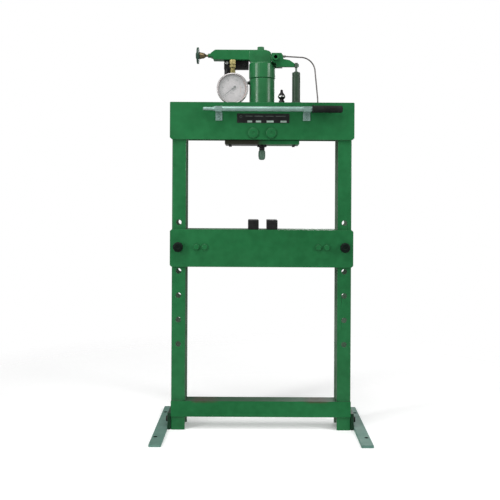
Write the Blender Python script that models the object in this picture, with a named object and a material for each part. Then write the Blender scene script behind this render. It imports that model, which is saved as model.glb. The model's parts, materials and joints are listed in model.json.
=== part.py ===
"""Hydraulic shop press: an H-frame with a hand pump, a pressure gauge and a pinned bolster.

Metres, +Z up. The origin is on the floor, midway between the feet. X runs to the right
along the beams and Y runs from front to back, so the operator stands at -Y.
"""

import math

import bmesh
import bpy
from mathutils import Euler, Matrix, Vector

MM = 0.001
GAP = 0.3 * MM  # left between pieces that touch
SIDES = (("left", -1), ("right", 1))
FACES = (("front", -1), ("rear", 1))
ROUND_SEGMENTS = 32
SMALL_SEGMENTS = 20
HOLE_SEGMENTS = 16
SMOOTH_ANGLE = math.radians(35)

# Uprights: channels with the web outside and the flanges pointing inwards.
UPRIGHT_X = 300 * MM
UPRIGHT_WIDTH = 50 * MM
UPRIGHT_DEPTH = 100 * MM
UPRIGHT_WALL = 5 * MM
UPRIGHT_CORNER = 6 * MM
UPRIGHT_HEIGHT = 1185 * MM
UPRIGHT_INNER = UPRIGHT_X - UPRIGHT_WIDTH / 2
UPRIGHT_OUTER = UPRIGHT_X + UPRIGHT_WIDTH / 2
PIN_HOLE_RADIUS = 10 * MM
PIN_HOLE_LOWEST = 310 * MM
PIN_HOLE_PITCH = 88 * MM
PIN_HOLE_COUNT = 6

# Crown: two plates outside the uprights, a top plate and the cylinder's seat between them.
PLATE = 9 * MM
PLATE_BACK = UPRIGHT_DEPTH / 2 + GAP
PLATE_FACE = PLATE_BACK + PLATE
CROWN_HALF = 333 * MM
CROWN_BOTTOM = 1050 * MM
CROWN_CHAMFER = 7 * MM
CROWN_REAR_BOTTOM = CROWN_BOTTOM + 4 * MM
CROWN_TOP_CHAMFER = 2 * MM
DECK_TOP = UPRIGHT_HEIGHT - 5 * MM  # the top plate lies a little below the crown's edge
DECK_SEAT = DECK_TOP + GAP
SEAT_HALF = 75 * MM
SEAT_TOP = 1104.7 * MM
SEAT_BOLT_X = 32.5 * MM
SEAT_BOLT_Z = 1074 * MM
SEAT_BOLT_RADIUS = 8 * MM
SEAT_BOLT_HEAD = 19.5 * MM
SEAT_BOLT_FRONT = -67.5 * MM
SEAT_BOLT_TIP = -30 * MM
SEAT_BOLT_KEY = (7 * MM, 5 * MM)  # half the flats and the depth of the key's recess
RETAINER_HALF = 135 * MM
RETAINER_BOTTOM = 1034 * MM
RETAINER_DEPTH = 48 * MM
NAME_PLATE_LOW = (-91 * MM, 1110 * MM)
NAME_PLATE_HIGH = (98 * MM, 1144 * MM)
NAME_PLATE_THICKNESS = 1.2 * MM

# Lower cross member and feet.
CROSS_LOW = 48.5 * MM
CROSS_LEG = 57 * MM
CROSS_WALL = 6 * MM
SHELF_REAR = 5 * MM  # the angle's level leg reaches back to here
FOOT_WIDTH = 42 * MM
FOOT_THICKNESS = 9 * MM
FOOT_LENGTH = 470 * MM
FOOT_MIDDLE_Y = -8 * MM  # the feet reach further out on the operator's side
FOOT_HOLE_Y = 151 * MM  # from the bar's middle
FOOT_HOLE_OUTWARD = 8 * MM  # from the bar's centre line
FOOT_HOLE_RADIUS = 7 * MM
BRACKET_THICKNESS = 12 * MM
BRACKET_HEIGHT = 60 * MM
FOOT_BOLT_Y = 25 * MM
FOOT_BOLT_Z = 34 * MM
BOLT_RADIUS = 6 * MM
BOLT_FLATS = 19 * MM
BOLT_HEAD = 7.5 * MM
BOLT_GRIP = 28 * MM
BOLT_SEGMENTS = 12

# Bolster: two formed channels back to back around the uprights, tied through spacers.
BOLSTER_HALF = 331 * MM
BOLSTER_LOW = 590 * MM
BOLSTER_HIGH = 725 * MM
BOLSTER_CHAMFER = 6 * MM
BOLSTER_PIN_Z = PIN_HOLE_LOWEST + 4 * PIN_HOLE_PITCH
FLANGE_HALF = UPRIGHT_INNER - 1 * MM
FLANGE_TIP = 20 * MM
TIE_X = (205 * MM, 235 * MM)
SPACER_SPAN = (190 * MM, 250 * MM)
SPACER_HALF_HEIGHT = 22 * MM
PIN_RADIUS = 9.5 * MM
PIN_FRONT = -76 * MM
PIN_REAR = 75 * MM
KNOB_RADIUS = 18.3 * MM
KNOB_FRONT = -85 * MM
KNOB_BACK = -63 * MM
BLOCK_SIZE = (39 * MM, 110 * MM, 34.5 * MM)
BLOCK_X = {"left": -30 * MM, "right": 38 * MM}

# Cylinder and ram, all on the Z axis through the origin.
BARREL_RADIUS = 35 * MM
BARREL_BORE = 26.3 * MM
BARREL_TOP = 1300 * MM
GLAND_TOP = 1074 * MM
TANK_RADIUS = 47 * MM
TANK_WALL = 3 * MM
TANK_TOP = 1275 * MM
COLLAR_RADIUS = 48.5 * MM
COLLAR_TOP = 1333.5 * MM
BRIDGE_LEFT = -48.7 * MM  # the flat-sided bridge over the collar carries the manifold arm on
BRIDGE_RIGHT = 31.7 * MM
BRIDGE_ROOT = COLLAR_TOP - 3.5 * MM
PLUG_X = -6 * MM
PLUG_RADIUS = 14 * MM
PLUG_TOP = 1395 * MM
PLUG_THREAD = 8 * MM
PLUG_DEPTH = 10 * MM
ROD_RADIUS = 17 * MM
ROD_BOTTOM = 1028 * MM
ROD_SOCKET = 18 * MM
PISTON_LOW = 1255.3 * MM
PISTON_HIGH = 1284.7 * MM
PISTON_RING = (11 * MM, 12 * MM, 17 * MM, 18 * MM)
PISTON_RING_DEPTH = 1.5 * MM
SPIGOT_RADIUS = 10 * MM
NOSE_SPIGOT = 7 * MM
NOSE_NECK = 10.2 * MM
NOSE_BULB = 13.2 * MM
NOSE_SHOULDER = 1014 * MM
NOSE_TIP = 979.5 * MM
SPRING_RADIUS = 22.5 * MM
SPRING_WIRE = 2 * MM
SPRING_TURNS = 9
SPRING_STEPS = 10

# Manifold arm, relief valve and release valve, left of the head.
ARM_HALF_DEPTH = 22 * MM
ARM_LOW = 1345 * MM
ARM_HIGH = 1381.5 * MM
ARM_RIGHT = BRIDGE_LEFT - GAP
ARM_LEFT = -190 * MM
ARM_SHOULDERS = (-173 * MM, -182 * MM, -179 * MM)
ARM_NOSE = (1354 * MM, 1356.5 * MM, 1369 * MM)
VALVE_Z = 1362.5 * MM
VALVE_STEM = 4.2 * MM
VALVE_DISK = 30 * MM
RELIEF_BLOCK_LOW = (-141 * MM, -2 * MM, 1313 * MM)
RELIEF_BLOCK_HIGH = (-50 * MM, 20 * MM, ARM_LOW - GAP)
RELIEF_BOSS = (-129 * MM, 9 * MM)
RELIEF_BOSS_RADIUS = 11 * MM
RELIEF_BOSS_SPAN = (1294 * MM, 1319 * MM)

# Pressure gauge, facing -Y, with its turned pieces centred on the gauge's own axis.
GAUGE_X = -108.5 * MM
GAUGE_Z = 1238 * MM
GAUGE_RADIUS = 57.5 * MM
GAUGE_FRONT = -34 * MM
GAUGE_BACK = -2 * MM
GAUGE_STEM_Y = -16 * MM
GAUGE_STEM_RADIUS = 9 * MM
GAUGE_UNION = (11 * MM, 1311 * MM)  # half its flats and its lower end
GLASS_FRONT = GAUGE_FRONT + 3.5 * MM
GLASS_THICKNESS = 2.2 * MM
BEZEL_OPENING = 51.5 * MM
DIAL_RADIUS = 54 * MM
DIAL_FRONT = -17 * MM
NEEDLE_FRONT = -23 * MM
NEEDLE_ANGLE = math.radians(218)  # from +X towards +Z: the zero stop is at the lower left
NEEDLE_LENGTH = 46 * MM
NEEDLE_TAIL = 10 * MM
NEEDLE_THICKNESS = 1.2 * MM
NEEDLE_WEIGHT = 5 * MM

# Hand pump: a rocker on a shaft through the head works the plunger of the pump barrel.
PIVOT_Z = 1340 * MM
SHAFT_RADIUS = 6 * MM
SHAFT_LEFT = 20 * MM
SHAFT_HEAD = (9 * MM, 4 * MM)  # half its flats and its thickness
YOKE_INNER = (32.3 * MM, 63.2 * MM)
YOKE_RIGHT = 75 * MM
YOKE_ROOT = 1322 * MM
YOKE_FLOOR = 1325.3 * MM  # the collar is cut down to this beside the rocker's hub
YOKE_REAR = (18 * MM, 30 * MM)
YOKE_REAR_ROOT_X = 5 * MM
YOKE_REAR_TOP = 1374 * MM
YOKE_REAR_SHOULDER = (66 * MM, 1362 * MM)  # where its top slopes down to the lug
LUG_TOP = 1370 * MM
TANK_CLEAR = 60 * MM  # a distance from the axis that is outside the collar
HUB_RADIUS = 13 * MM
SOCKET_X = 47.8 * MM
SOCKET_Z = 1349 * MM
SOCKET_RADIUS = 12.5 * MM
SOCKET_BORE = 6.8 * MM
SOCKET_FRONT = -62 * MM
SOCKET_REAR = 4 * MM
ROCKER_PLATE = (-39 * MM, -25 * MM)
ROCKER_LEFT = YOKE_INNER[0] + 2 * GAP
ROCKER_TOP = 1367.5 * MM
PUMP_X = 123.2 * MM
PUMP_Y = -32 * MM
PUMP_TOP = 1297 * MM
PUMP_RADIUS = 14.7 * MM
PUMP_FLANGE = 18 * MM
PUMP_BORE_LOW = 1200 * MM
EYE_Z = 1322.5 * MM
EYE_PIN = 3 * MM
PLUNGER_RADIUS = 3.5 * MM
PLUNGER_LOW = 1213 * MM
PLUNGER_HALF_WIDTH = 5.5 * MM
PLUNGER_HALF_HEIGHT = 8.5 * MM
PLUNGER_DEPTH = (-9.5 * MM, 11.5 * MM)
PLUNGER_SLOT_DEPTH = (-6.7 * MM, 8.7 * MM)
PLUNGER_SLOT_HALF = 3.85 * MM

# Oil pipe, breather, handle and hooks.
PIPE_RADIUS = 2.5 * MM
PIPE_Y = 12 * MM
PIPE_NUT = 4.5 * MM
PIPE_NUT_LENGTH = 9 * MM
PIPE_START_Z = 1363.5 * MM
PIPE_BEND = (141.5 * MM, 1306.5 * MM)
PIPE_BEND_RADIUS = 54 * MM
PIPE_END_X = 206 * MM
BREATHER_X = 71.5 * MM
BREATHER_Y = -10 * MM
HANDLE_Y = -84 * MM
HANDLE_Z = 1158 * MM
HANDLE_RADIUS = 9.25 * MM
HANDLE_LEFT = -212 * MM
HANDLE_TIP = 6.25 * MM
HANDLE_TIP_LENGTH = 34 * MM
HANDLE_TAPER = 6 * MM
GRIP_START = 178 * MM
GRIP_END = 287 * MM
GRIP_RADIUS = 13 * MM
GRIP_WALL = 3 * MM
GRIP_COLLAR = 1.5 * MM
HOOK_X = {"left": (-168 * MM, -144 * MM), "right": (147 * MM, 173 * MM)}
HOOK_STRAP = 3 * MM
HOOK_LOW = 1118 * MM
HOOK_LIP = 1166 * MM

# Slot: colour, roughness and metallic value.
FINISHES = {
    "green_paint": ((0.028, 0.141, 0.056), 0.42, 0.0),
    "foot_paint": ((0.085, 0.190, 0.125), 0.50, 0.0),
    "pump_paint": ((0.043, 0.072, 0.046), 0.40, 0.0),
    "black_steel": ((0.012, 0.010, 0.010), 0.45, 0.0),
    "black_plastic": ((0.010, 0.009, 0.010), 0.35, 0.0),
    "bright_steel": ((0.600, 0.620, 0.600), 0.30, 1.0),
    "pipe_steel": ((0.160, 0.145, 0.145), 0.38, 1.0),
    "brass": ((0.480, 0.370, 0.150), 0.32, 1.0),
    "black_rubber": ((0.010, 0.008, 0.009), 0.70, 0.0),
    "gauge_face": ((0.620, 0.570, 0.600), 0.55, 0.0),
    "glass": ((0.900, 0.920, 0.920), 0.05, 0.0),
    "name_plate": ((0.009, 0.008, 0.009), 0.35, 0.0),
}
AXIS_TURN = {
    "X": (0, math.pi / 2, 0),
    "Y": (-math.pi / 2, 0, 0),
    "Z": (0, 0, 0),
}


def finish(slot):
    """The material of a slot, made on first use."""
    material = bpy.data.materials.get(slot)
    if material is None:
        colour, roughness, metallic = FINISHES[slot]
        material = bpy.data.materials.new(slot)
        material.use_nodes = True
        shader = material.node_tree.nodes["Principled BSDF"]
        shader.inputs["Base Color"].default_value = (*colour, 1)
        shader.inputs["Roughness"].default_value = roughness
        shader.inputs["Metallic"].default_value = metallic
        material.diffuse_color = (*colour, 1)
    return material


def add_object(name, bm, slot, location, axis="Z", parent=None):
    """Turn a bmesh into a placed object; a piece under a joint keeps its world location."""
    bmesh.ops.recalc_face_normals(bm, faces=bm.faces)
    mesh = bpy.data.meshes.new(name)
    bm.to_mesh(mesh)
    bm.free()
    mesh.shade_smooth()
    mesh.set_sharp_from_angle(angle=SMOOTH_ANGLE)
    if slot:
        mesh.materials.append(finish(slot))
    piece = bpy.data.objects.new(name, mesh)
    bpy.context.scene.collection.objects.link(piece)
    piece.location = location
    piece.rotation_euler = AXIS_TURN[axis]
    if parent is not None:
        piece.parent = parent
        piece.location -= parent.location
    return piece


def joint(name, location):
    """An empty on a joint's axis, which carries the pieces that move with the joint."""
    empty = bpy.data.objects.new(name, None)
    bpy.context.scene.collection.objects.link(empty)
    empty.empty_display_size = 0.03
    empty.location = location
    return empty


def block(name, low, high, slot, chamfer=0.0, parent=None):
    """A box between two corners, with its origin at its centre."""
    low, high = Vector(low), Vector(high)
    bm = bmesh.new()
    bmesh.ops.create_cube(bm, size=1)
    bmesh.ops.scale(bm, vec=high - low, verts=bm.verts)
    piece = add_object(name, bm, slot, (low + high) / 2, parent=parent)
    if chamfer:
        edges = piece.modifiers.new("chamfer", "BEVEL")
        edges.width = chamfer
        edges.segments = 1
    return piece


def prism(name, outline, axis, start, end, slot, location=(0, 0, 0), parent=None):
    """Extrude an outline along X, Y or Z; its points are in the other two axes, in order."""
    index = "XYZ".index(axis)
    bm = bmesh.new()
    rings = []
    for depth in (start, end):
        ring = []
        for point in outline:
            corner = list(point)
            corner.insert(index, depth)
            ring.append(bm.verts.new(corner))
        bm.faces.new(ring)
        rings.append(ring)
    join_rings(bm, rings[0], rings[1])
    return add_object(name, bm, slot, location, parent=parent)


def join_rings(bm, first, second):
    """Faces between two rings of a turned or swept shape; a ring of one vertex is a tip."""
    count = max(len(first), len(second))
    if len(first) == 1 and len(second) == 1:
        return
    for i in range(count):
        j = (i + 1) % count
        corners = [first[i % len(first)], first[j % len(first)]]
        corners += [second[j % len(second)], second[i % len(second)]]
        bm.faces.new(list(dict.fromkeys(corners)))


def turned(name, profile, slot, location, axis="Z", closed=False, segments=ROUND_SEGMENTS, parent=None):
    """Turn (radius, height) points about an axis through location.

    A solid's profile starts and ends at radius 0, and a ring's profile is closed. A third
    value, "hex", makes that ring a hexagon whose radius is half its width across flats.
    """
    bm = bmesh.new()
    rings = []
    for radius, height, *shape in profile:
        if radius == 0:
            rings.append([bm.verts.new((0, 0, height))])
            continue
        ring = []
        for i in range(segments):
            angle = 2 * math.pi * i / segments
            reach = radius
            if shape:
                reach = radius / math.cos(angle % (math.pi / 3) - math.pi / 6)
            ring.append(bm.verts.new((reach * math.cos(angle), reach * math.sin(angle), height)))
        rings.append(ring)
    for first, second in zip(rings, rings[1:]):
        join_rings(bm, first, second)
    if closed:
        join_rings(bm, rings[-1], rings[0])
    return add_object(name, bm, slot, location, axis, parent)


def rod_profile(radius, low, high, chamfer=0.0):
    """Profile of a solid round bar, with an optional chamfer at both ends."""
    if not chamfer:
        return [(0, low), (radius, low), (radius, high), (0, high)]
    return [
        (0, low),
        (radius - chamfer, low),
        (radius, low + chamfer),
        (radius, high - chamfer),
        (radius - chamfer, high),
        (0, high),
    ]


def tube_profile(inner, outer, low, high):
    """Closed profile of a plain ring or tube."""
    return [(inner, low), (outer, low), (outer, high), (inner, high)]


def swept(name, stations, slot, sides=8):
    """Sweep a round section along stations of (point, radius), with flat ends."""
    points = [Vector(point) for point, _ in stations]
    bm = bmesh.new()
    rings = []
    side = None
    for i, (_, radius) in enumerate(stations):
        before = points[max(i - 1, 0)]
        after = points[min(i + 1, len(points) - 1)]
        direction = (after - before).normalized()
        if side is None:
            side = direction.orthogonal()
        side = (side - direction * side.dot(direction)).normalized()
        other = direction.cross(side)
        ring = []
        for k in range(sides):
            angle = 2 * math.pi * k / sides
            outward = side * math.cos(angle) + other * math.sin(angle)
            ring.append(bm.verts.new(points[i] + radius * outward))
        rings.append(ring)
    for first, second in zip(rings, rings[1:]):
        join_rings(bm, first, second)
    bm.faces.new(rings[0])
    bm.faces.new(rings[-1])
    return add_object(name, bm, slot, (0, 0, 0))


def boolean(target, tool, operation):
    """Cut a tool from a piece, or join it on; the tool itself is only a guide."""
    tool.hide_render = True
    tool.display_type = "WIRE"
    step = target.modifiers.new(tool.name, "BOOLEAN")
    step.operation = operation
    step.solver = "EXACT"
    step.object = tool


def drill(target, centres, radius, axis, start, end, segments=HOLE_SEGMENTS):
    """Drill round holes along an axis; each centre is in the other two axes, in order."""
    index = "XYZ".index(axis)
    turn = Euler(AXIS_TURN[axis]).to_matrix().to_4x4() @ Matrix.Rotation(math.pi / segments, 4, "Z")
    bm = bmesh.new()
    for centre in centres:
        middle = list(centre)
        middle.insert(index, (start + end) / 2)
        bmesh.ops.create_cone(
            bm,
            cap_ends=True,
            segments=segments,
            radius1=radius,
            radius2=radius,
            depth=abs(end - start),
            matrix=Matrix.Translation(middle) @ turn,
        )
    tool = add_object(f"{target.name}_drill_{axis.lower()}", bm, None, (0, 0, 0))
    boolean(target, tool, "DIFFERENCE")


def arc(centre, radius, start, end, steps):
    """Points on an arc, from one angle to another in degrees."""
    points = []
    for i in range(steps + 1):
        angle = math.radians(start + (end - start) * i / steps)
        points.append((centre[0] + radius * math.cos(angle), centre[1] + radius * math.sin(angle)))
    return points


def make_uprights():
    half_width = UPRIGHT_WIDTH / 2
    half_depth = UPRIGHT_DEPTH / 2
    corner_x = half_width - UPRIGHT_CORNER
    corner_y = half_depth - UPRIGHT_CORNER
    outline = [(-half_width, -half_depth)]
    outline += arc((corner_x, -corner_y), UPRIGHT_CORNER, -90, 0, 3)
    outline += arc((corner_x, corner_y), UPRIGHT_CORNER, 0, 90, 3)
    outline += [
        (-half_width, half_depth),
        (-half_width, half_depth - UPRIGHT_WALL),
        (half_width - UPRIGHT_WALL, half_depth - UPRIGHT_WALL),
        (half_width - UPRIGHT_WALL, UPRIGHT_WALL - half_depth),
        (-half_width, UPRIGHT_WALL - half_depth),
    ]
    heights = [PIN_HOLE_LOWEST + PIN_HOLE_PITCH * i for i in range(PIN_HOLE_COUNT)]
    for side, sign in SIDES:
        mirrored = [(sign * x, y) for x, y in outline]
        x = sign * UPRIGHT_X
        upright = prism(f"{side}_upright", mirrored, "Z", 0, UPRIGHT_HEIGHT, "green_paint", (x, 0, 0))
        drill(upright, [(x, z) for z in heights], PIN_HOLE_RADIUS, "Y", -half_depth - MM, half_depth + MM)
        web_bolts = [(y, FOOT_BOLT_Z) for y in (-FOOT_BOLT_Y, FOOT_BOLT_Y)]
        web = [x + sign * (half_width - UPRIGHT_WALL - MM), x + sign * (half_width + MM)]
        drill(upright, web_bolts, BOLT_RADIUS + GAP, "X", *web, BOLT_SEGMENTS)


def chamfered_plate(half, low, high, bottom, top):
    """Outline in X and Z of a plate with its lower and upper corners cut at 45 degrees."""
    return [
        (-half + bottom, low),
        (half - bottom, low),
        (half, low + bottom),
        (half, high - top),
        (half - top, high),
        (-half + top, high),
        (-half, high - top),
        (-half, low + bottom),
    ]


def make_crown():
    seat_bolts = [(sign * SEAT_BOLT_X, SEAT_BOLT_Z) for _, sign in SIDES]
    bottoms = {"front": CROWN_BOTTOM, "rear": CROWN_REAR_BOTTOM}
    for face, sign in FACES:
        outline = chamfered_plate(CROWN_HALF, bottoms[face], UPRIGHT_HEIGHT, CROWN_CHAMFER, CROWN_TOP_CHAMFER)
        plate = prism(f"crown_{face}_plate", outline, "Y", sign * PLATE_BACK, sign * PLATE_FACE, "green_paint")
        if face == "front":
            drill(plate, seat_bolts, SEAT_BOLT_RADIUS + GAP, "Y", -PLATE_FACE - MM, -PLATE_BACK + MM)
    top = block(
        "crown_top_plate",
        (-UPRIGHT_INNER + 2 * GAP, -PLATE_BACK + GAP, DECK_TOP - PLATE),
        (UPRIGHT_INNER - 2 * GAP, PLATE_BACK - GAP, DECK_TOP),
        "green_paint",
    )
    drill(top, [(0, 0)], TANK_RADIUS + GAP, "Z", DECK_TOP - PLATE - MM, DECK_TOP + MM, ROUND_SEGMENTS)
    seat = block(
        "cylinder_seat_block",
        (-SEAT_HALF, -PLATE_BACK + GAP, CROWN_BOTTOM + GAP),
        (SEAT_HALF, PLATE_BACK - GAP, SEAT_TOP),
        "green_paint",
    )
    drill(seat, [(0, 0)], BARREL_RADIUS + GAP, "Z", CROWN_BOTTOM - MM, SEAT_TOP + MM, ROUND_SEGMENTS)
    drill(seat, seat_bolts, SEAT_BOLT_RADIUS + GAP, "Y", -PLATE_FACE, SEAT_BOLT_TIP + MM, HOLE_SEGMENTS)
    key_flats, key_depth = SEAT_BOLT_KEY
    profile = [
        (0, SEAT_BOLT_FRONT + key_depth),
        (key_flats, SEAT_BOLT_FRONT + key_depth, "hex"),
        (key_flats, SEAT_BOLT_FRONT, "hex"),
        (SEAT_BOLT_HEAD - 1.5 * MM, SEAT_BOLT_FRONT),
        (SEAT_BOLT_HEAD, SEAT_BOLT_FRONT + 1.5 * MM),
        (SEAT_BOLT_HEAD, -PLATE_FACE - GAP),
        (SEAT_BOLT_RADIUS, -PLATE_FACE - GAP),
        (SEAT_BOLT_RADIUS, SEAT_BOLT_TIP),
        (0, SEAT_BOLT_TIP),
    ]
    for side, sign in SIDES:
        spot = (sign * SEAT_BOLT_X, 0, SEAT_BOLT_Z)
        turned(f"seat_bolt_{side}", profile, "green_paint", spot, "Y", segments=SMALL_SEGMENTS)
    retainer = block(
        "ram_retaining_plate",
        (-RETAINER_HALF, -RETAINER_DEPTH, RETAINER_BOTTOM),
        (RETAINER_HALF, RETAINER_DEPTH, CROWN_BOTTOM - GAP),
        "green_paint",
        1.5 * MM,
    )
    drill(retainer, [(0, 0)], ROD_RADIUS + 2 * GAP, "Z", RETAINER_BOTTOM - MM, CROWN_BOTTOM + MM)
    block(
        "name_plate",
        (NAME_PLATE_LOW[0], -PLATE_FACE - GAP - NAME_PLATE_THICKNESS, NAME_PLATE_LOW[1]),
        (NAME_PLATE_HIGH[0], -PLATE_FACE - GAP, NAME_PLATE_HIGH[1]),
        "name_plate",
    )


def make_lower_frame():
    top = CROSS_LOW + CROSS_LEG
    front = -PLATE_BACK - CROSS_WALL
    cross = block(
        "lower_cross_member",
        (-UPRIGHT_OUTER, front, CROSS_LOW),
        (UPRIGHT_OUTER, -PLATE_BACK, top),
        "green_paint",
    )
    shelf = block(
        "lower_cross_shelf",
        (-FLANGE_HALF, -PLATE_BACK - 2 * MM, top - CROSS_WALL),
        (FLANGE_HALF, SHELF_REAR, top),
        None,
    )
    boolean(cross, shelf, "UNION")
    for side, sign in SIDES:
        bracket_x = sorted(sign * (UPRIGHT_OUTER + offset) for offset in (GAP, GAP + BRACKET_THICKNESS))
        bracket = block(
            f"{side}_foot_bracket",
            (bracket_x[0], -UPRIGHT_DEPTH / 2, 0),
            (bracket_x[1], UPRIGHT_DEPTH / 2, BRACKET_HEIGHT),
            "green_paint",
            1.5 * MM,
        )
        inner = UPRIGHT_OUTER + 2 * GAP + BRACKET_THICKNESS
        bar_x = sorted((sign * inner, sign * (inner + FOOT_WIDTH)))
        bar = block(
            f"{side}_foot_bar",
            (bar_x[0], FOOT_MIDDLE_Y - FOOT_LENGTH / 2, 0),
            (bar_x[1], FOOT_MIDDLE_Y + FOOT_LENGTH / 2, FOOT_THICKNESS),
            "foot_paint",
            1 * MM,
        )
        hole_x = sum(bar_x) / 2 + sign * FOOT_HOLE_OUTWARD
        anchors = [(hole_x, FOOT_MIDDLE_Y + towards * FOOT_HOLE_Y) for towards in (-1, 1)]
        drill(bar, anchors, FOOT_HOLE_RADIUS, "Z", -MM, FOOT_THICKNESS + MM)
        bolts = [(-FOOT_BOLT_Y, FOOT_BOLT_Z), (FOOT_BOLT_Y, FOOT_BOLT_Z)]
        drill(bracket, bolts, BOLT_RADIUS + GAP, "X", bracket_x[0] - MM, bracket_x[1] + MM, BOLT_SEGMENTS)
        seat = inner * sign
        profile = [
            (0, seat + sign * BOLT_HEAD),
            (BOLT_FLATS / 2 - MM, seat + sign * BOLT_HEAD),
            (BOLT_FLATS / 2, seat + sign * (BOLT_HEAD - MM), "hex"),
            (BOLT_FLATS / 2, seat, "hex"),
            (BOLT_RADIUS, seat),
            (BOLT_RADIUS, seat - sign * BOLT_GRIP),
            (0, seat - sign * BOLT_GRIP),
        ]
        for face, depth_sign in FACES:
            spot = (0, depth_sign * FOOT_BOLT_Y, FOOT_BOLT_Z)
            turned(f"{side}_foot_bolt_{face}", profile, "black_steel", spot, "X", segments=BOLT_SEGMENTS)


def make_bolster():
    outline = chamfered_plate(BOLSTER_HALF, BOLSTER_LOW, BOLSTER_HIGH, BOLSTER_CHAMFER, BOLSTER_CHAMFER)
    tie_points = [(sign * x, BOLSTER_PIN_Z) for _, sign in SIDES for x in TIE_X]
    pin_points = [(sign * UPRIGHT_X, BOLSTER_PIN_Z) for _, sign in SIDES]
    for face, sign in FACES:
        name = f"bolster_{face}_channel"
        channel = prism(name, outline, "Y", sign * PLATE_BACK, sign * PLATE_FACE, "green_paint")
        for level, low in (("lower", BOLSTER_LOW), ("upper", BOLSTER_HIGH - PLATE)):
            depths = sorted((sign * (PLATE_BACK + 2 * MM), sign * FLANGE_TIP))
            flange = block(
                f"{name}_{level}_flange",
                (-FLANGE_HALF, depths[0], low),
                (FLANGE_HALF, depths[1], low + PLATE),
                None,
            )
            boolean(channel, flange, "UNION")
        span = sorted((sign * (PLATE_BACK - MM), sign * (PLATE_FACE + MM)))
        drill(channel, pin_points, PIN_HOLE_RADIUS, "Y", *span)
        drill(channel, tie_points, BOLT_RADIUS + GAP, "Y", *span, BOLT_SEGMENTS)
    seat = PLATE_FACE + GAP
    half = [
        (0, -seat - BOLT_HEAD),
        (BOLT_FLATS / 2 - MM, -seat - BOLT_HEAD),
        (BOLT_FLATS / 2, -seat - BOLT_HEAD + MM, "hex"),
        (BOLT_FLATS / 2, -seat, "hex"),
        (BOLT_RADIUS, -seat),
    ]
    rear = [(radius, -height, *shape) for radius, height, *shape in reversed(half)]
    for side, sign in SIDES:
        span = sorted(sign * x for x in SPACER_SPAN)
        spacer = block(
            f"bolster_{side}_spacer",
            (span[0], -PLATE_BACK + GAP, BOLSTER_PIN_Z - SPACER_HALF_HEIGHT),
            (span[1], PLATE_BACK - GAP, BOLSTER_PIN_Z + SPACER_HALF_HEIGHT),
            "green_paint",
        )
        bolt_points = [(sign * x, BOLSTER_PIN_Z) for x in TIE_X]
        drill(spacer, bolt_points, BOLT_RADIUS + GAP, "Y", -PLATE_FACE, PLATE_FACE, BOLT_SEGMENTS)
        for place, x in zip(("inner", "outer"), TIE_X):
            name = f"bolster_{side}_tie_bolt_{place}"
            spot = (sign * x, 0, BOLSTER_PIN_Z)
            turned(name, half + rear, "green_paint", spot, "Y", segments=BOLT_SEGMENTS)


def make_bolster_pins():
    for side, sign in SIDES:
        spot = (sign * UPRIGHT_X, 0, BOLSTER_PIN_Z)
        slide = joint(f"{side}_pin_slide", spot)
        shank = rod_profile(PIN_RADIUS, PIN_FRONT, PIN_REAR, 1.5 * MM)
        turned(f"{side}_bolster_pin", shank, "bright_steel", spot, "Y", segments=SMALL_SEGMENTS, parent=slide)
        knob = [
            (0, KNOB_FRONT),
            (KNOB_RADIUS - 6.3 * MM, KNOB_FRONT),
            (KNOB_RADIUS - 1.8 * MM, KNOB_FRONT + 2 * MM),
            (KNOB_RADIUS, KNOB_FRONT + 6 * MM),
            (KNOB_RADIUS, KNOB_BACK - 5 * MM),
            (KNOB_RADIUS - 4.3 * MM, KNOB_BACK),
            (PIN_RADIUS + GAP, KNOB_BACK),
            (PIN_RADIUS + GAP, PIN_FRONT - GAP),
            (0, PIN_FRONT - GAP),
        ]
        turned(f"{side}_pin_knob", knob, "black_plastic", spot, "Y", segments=SMALL_SEGMENTS, parent=slide)


def make_press_blocks():
    width, depth, height = BLOCK_SIZE
    low = BOLSTER_HIGH + GAP
    for side, _ in SIDES:
        x = BLOCK_X[side]
        slide = joint(f"{side}_block_slide", (x, 0, low))
        block(
            f"{side}_press_block",
            (x - width / 2, -depth / 2, low),
            (x + width / 2, depth / 2, low + height),
            "black_steel",
            1.5 * MM,
            slide,
        )


def make_cylinder():
    barrel = tube_profile(BARREL_BORE, BARREL_RADIUS, CROWN_BOTTOM, BARREL_TOP)
    turned("cylinder_barrel", barrel, "bright_steel", (0, 0, 0), closed=True)
    gland = tube_profile(ROD_RADIUS + GAP, BARREL_BORE - GAP, CROWN_BOTTOM, GLAND_TOP)
    turned("cylinder_gland", gland, "brass", (0, 0, 0), closed=True)
    tank = tube_profile(TANK_RADIUS - TANK_WALL, TANK_RADIUS, SEAT_TOP + GAP, TANK_TOP)
    turned("reservoir_tube", tank, "green_paint", (0, 0, 0), closed=True)
    make_head_casting()
    neck = PLUG_RADIUS - 1.5 * MM
    plug = [
        (0, PLUG_TOP),
        (neck - 1.5 * MM, PLUG_TOP),
        (neck, PLUG_TOP - 2 * MM, "hex"),
        (neck, PLUG_TOP - 6 * MM, "hex"),
        (PLUG_RADIUS, PLUG_TOP - 6.5 * MM),
        (PLUG_RADIUS, ARM_HIGH + GAP),
        (PLUG_THREAD, ARM_HIGH + GAP),
        (PLUG_THREAD, ARM_HIGH - PLUG_DEPTH),
        (0, ARM_HIGH - PLUG_DEPTH),
    ]
    turned("filler_plug", plug, "green_paint", (PLUG_X, 0, 0), segments=SMALL_SEGMENTS)


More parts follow.
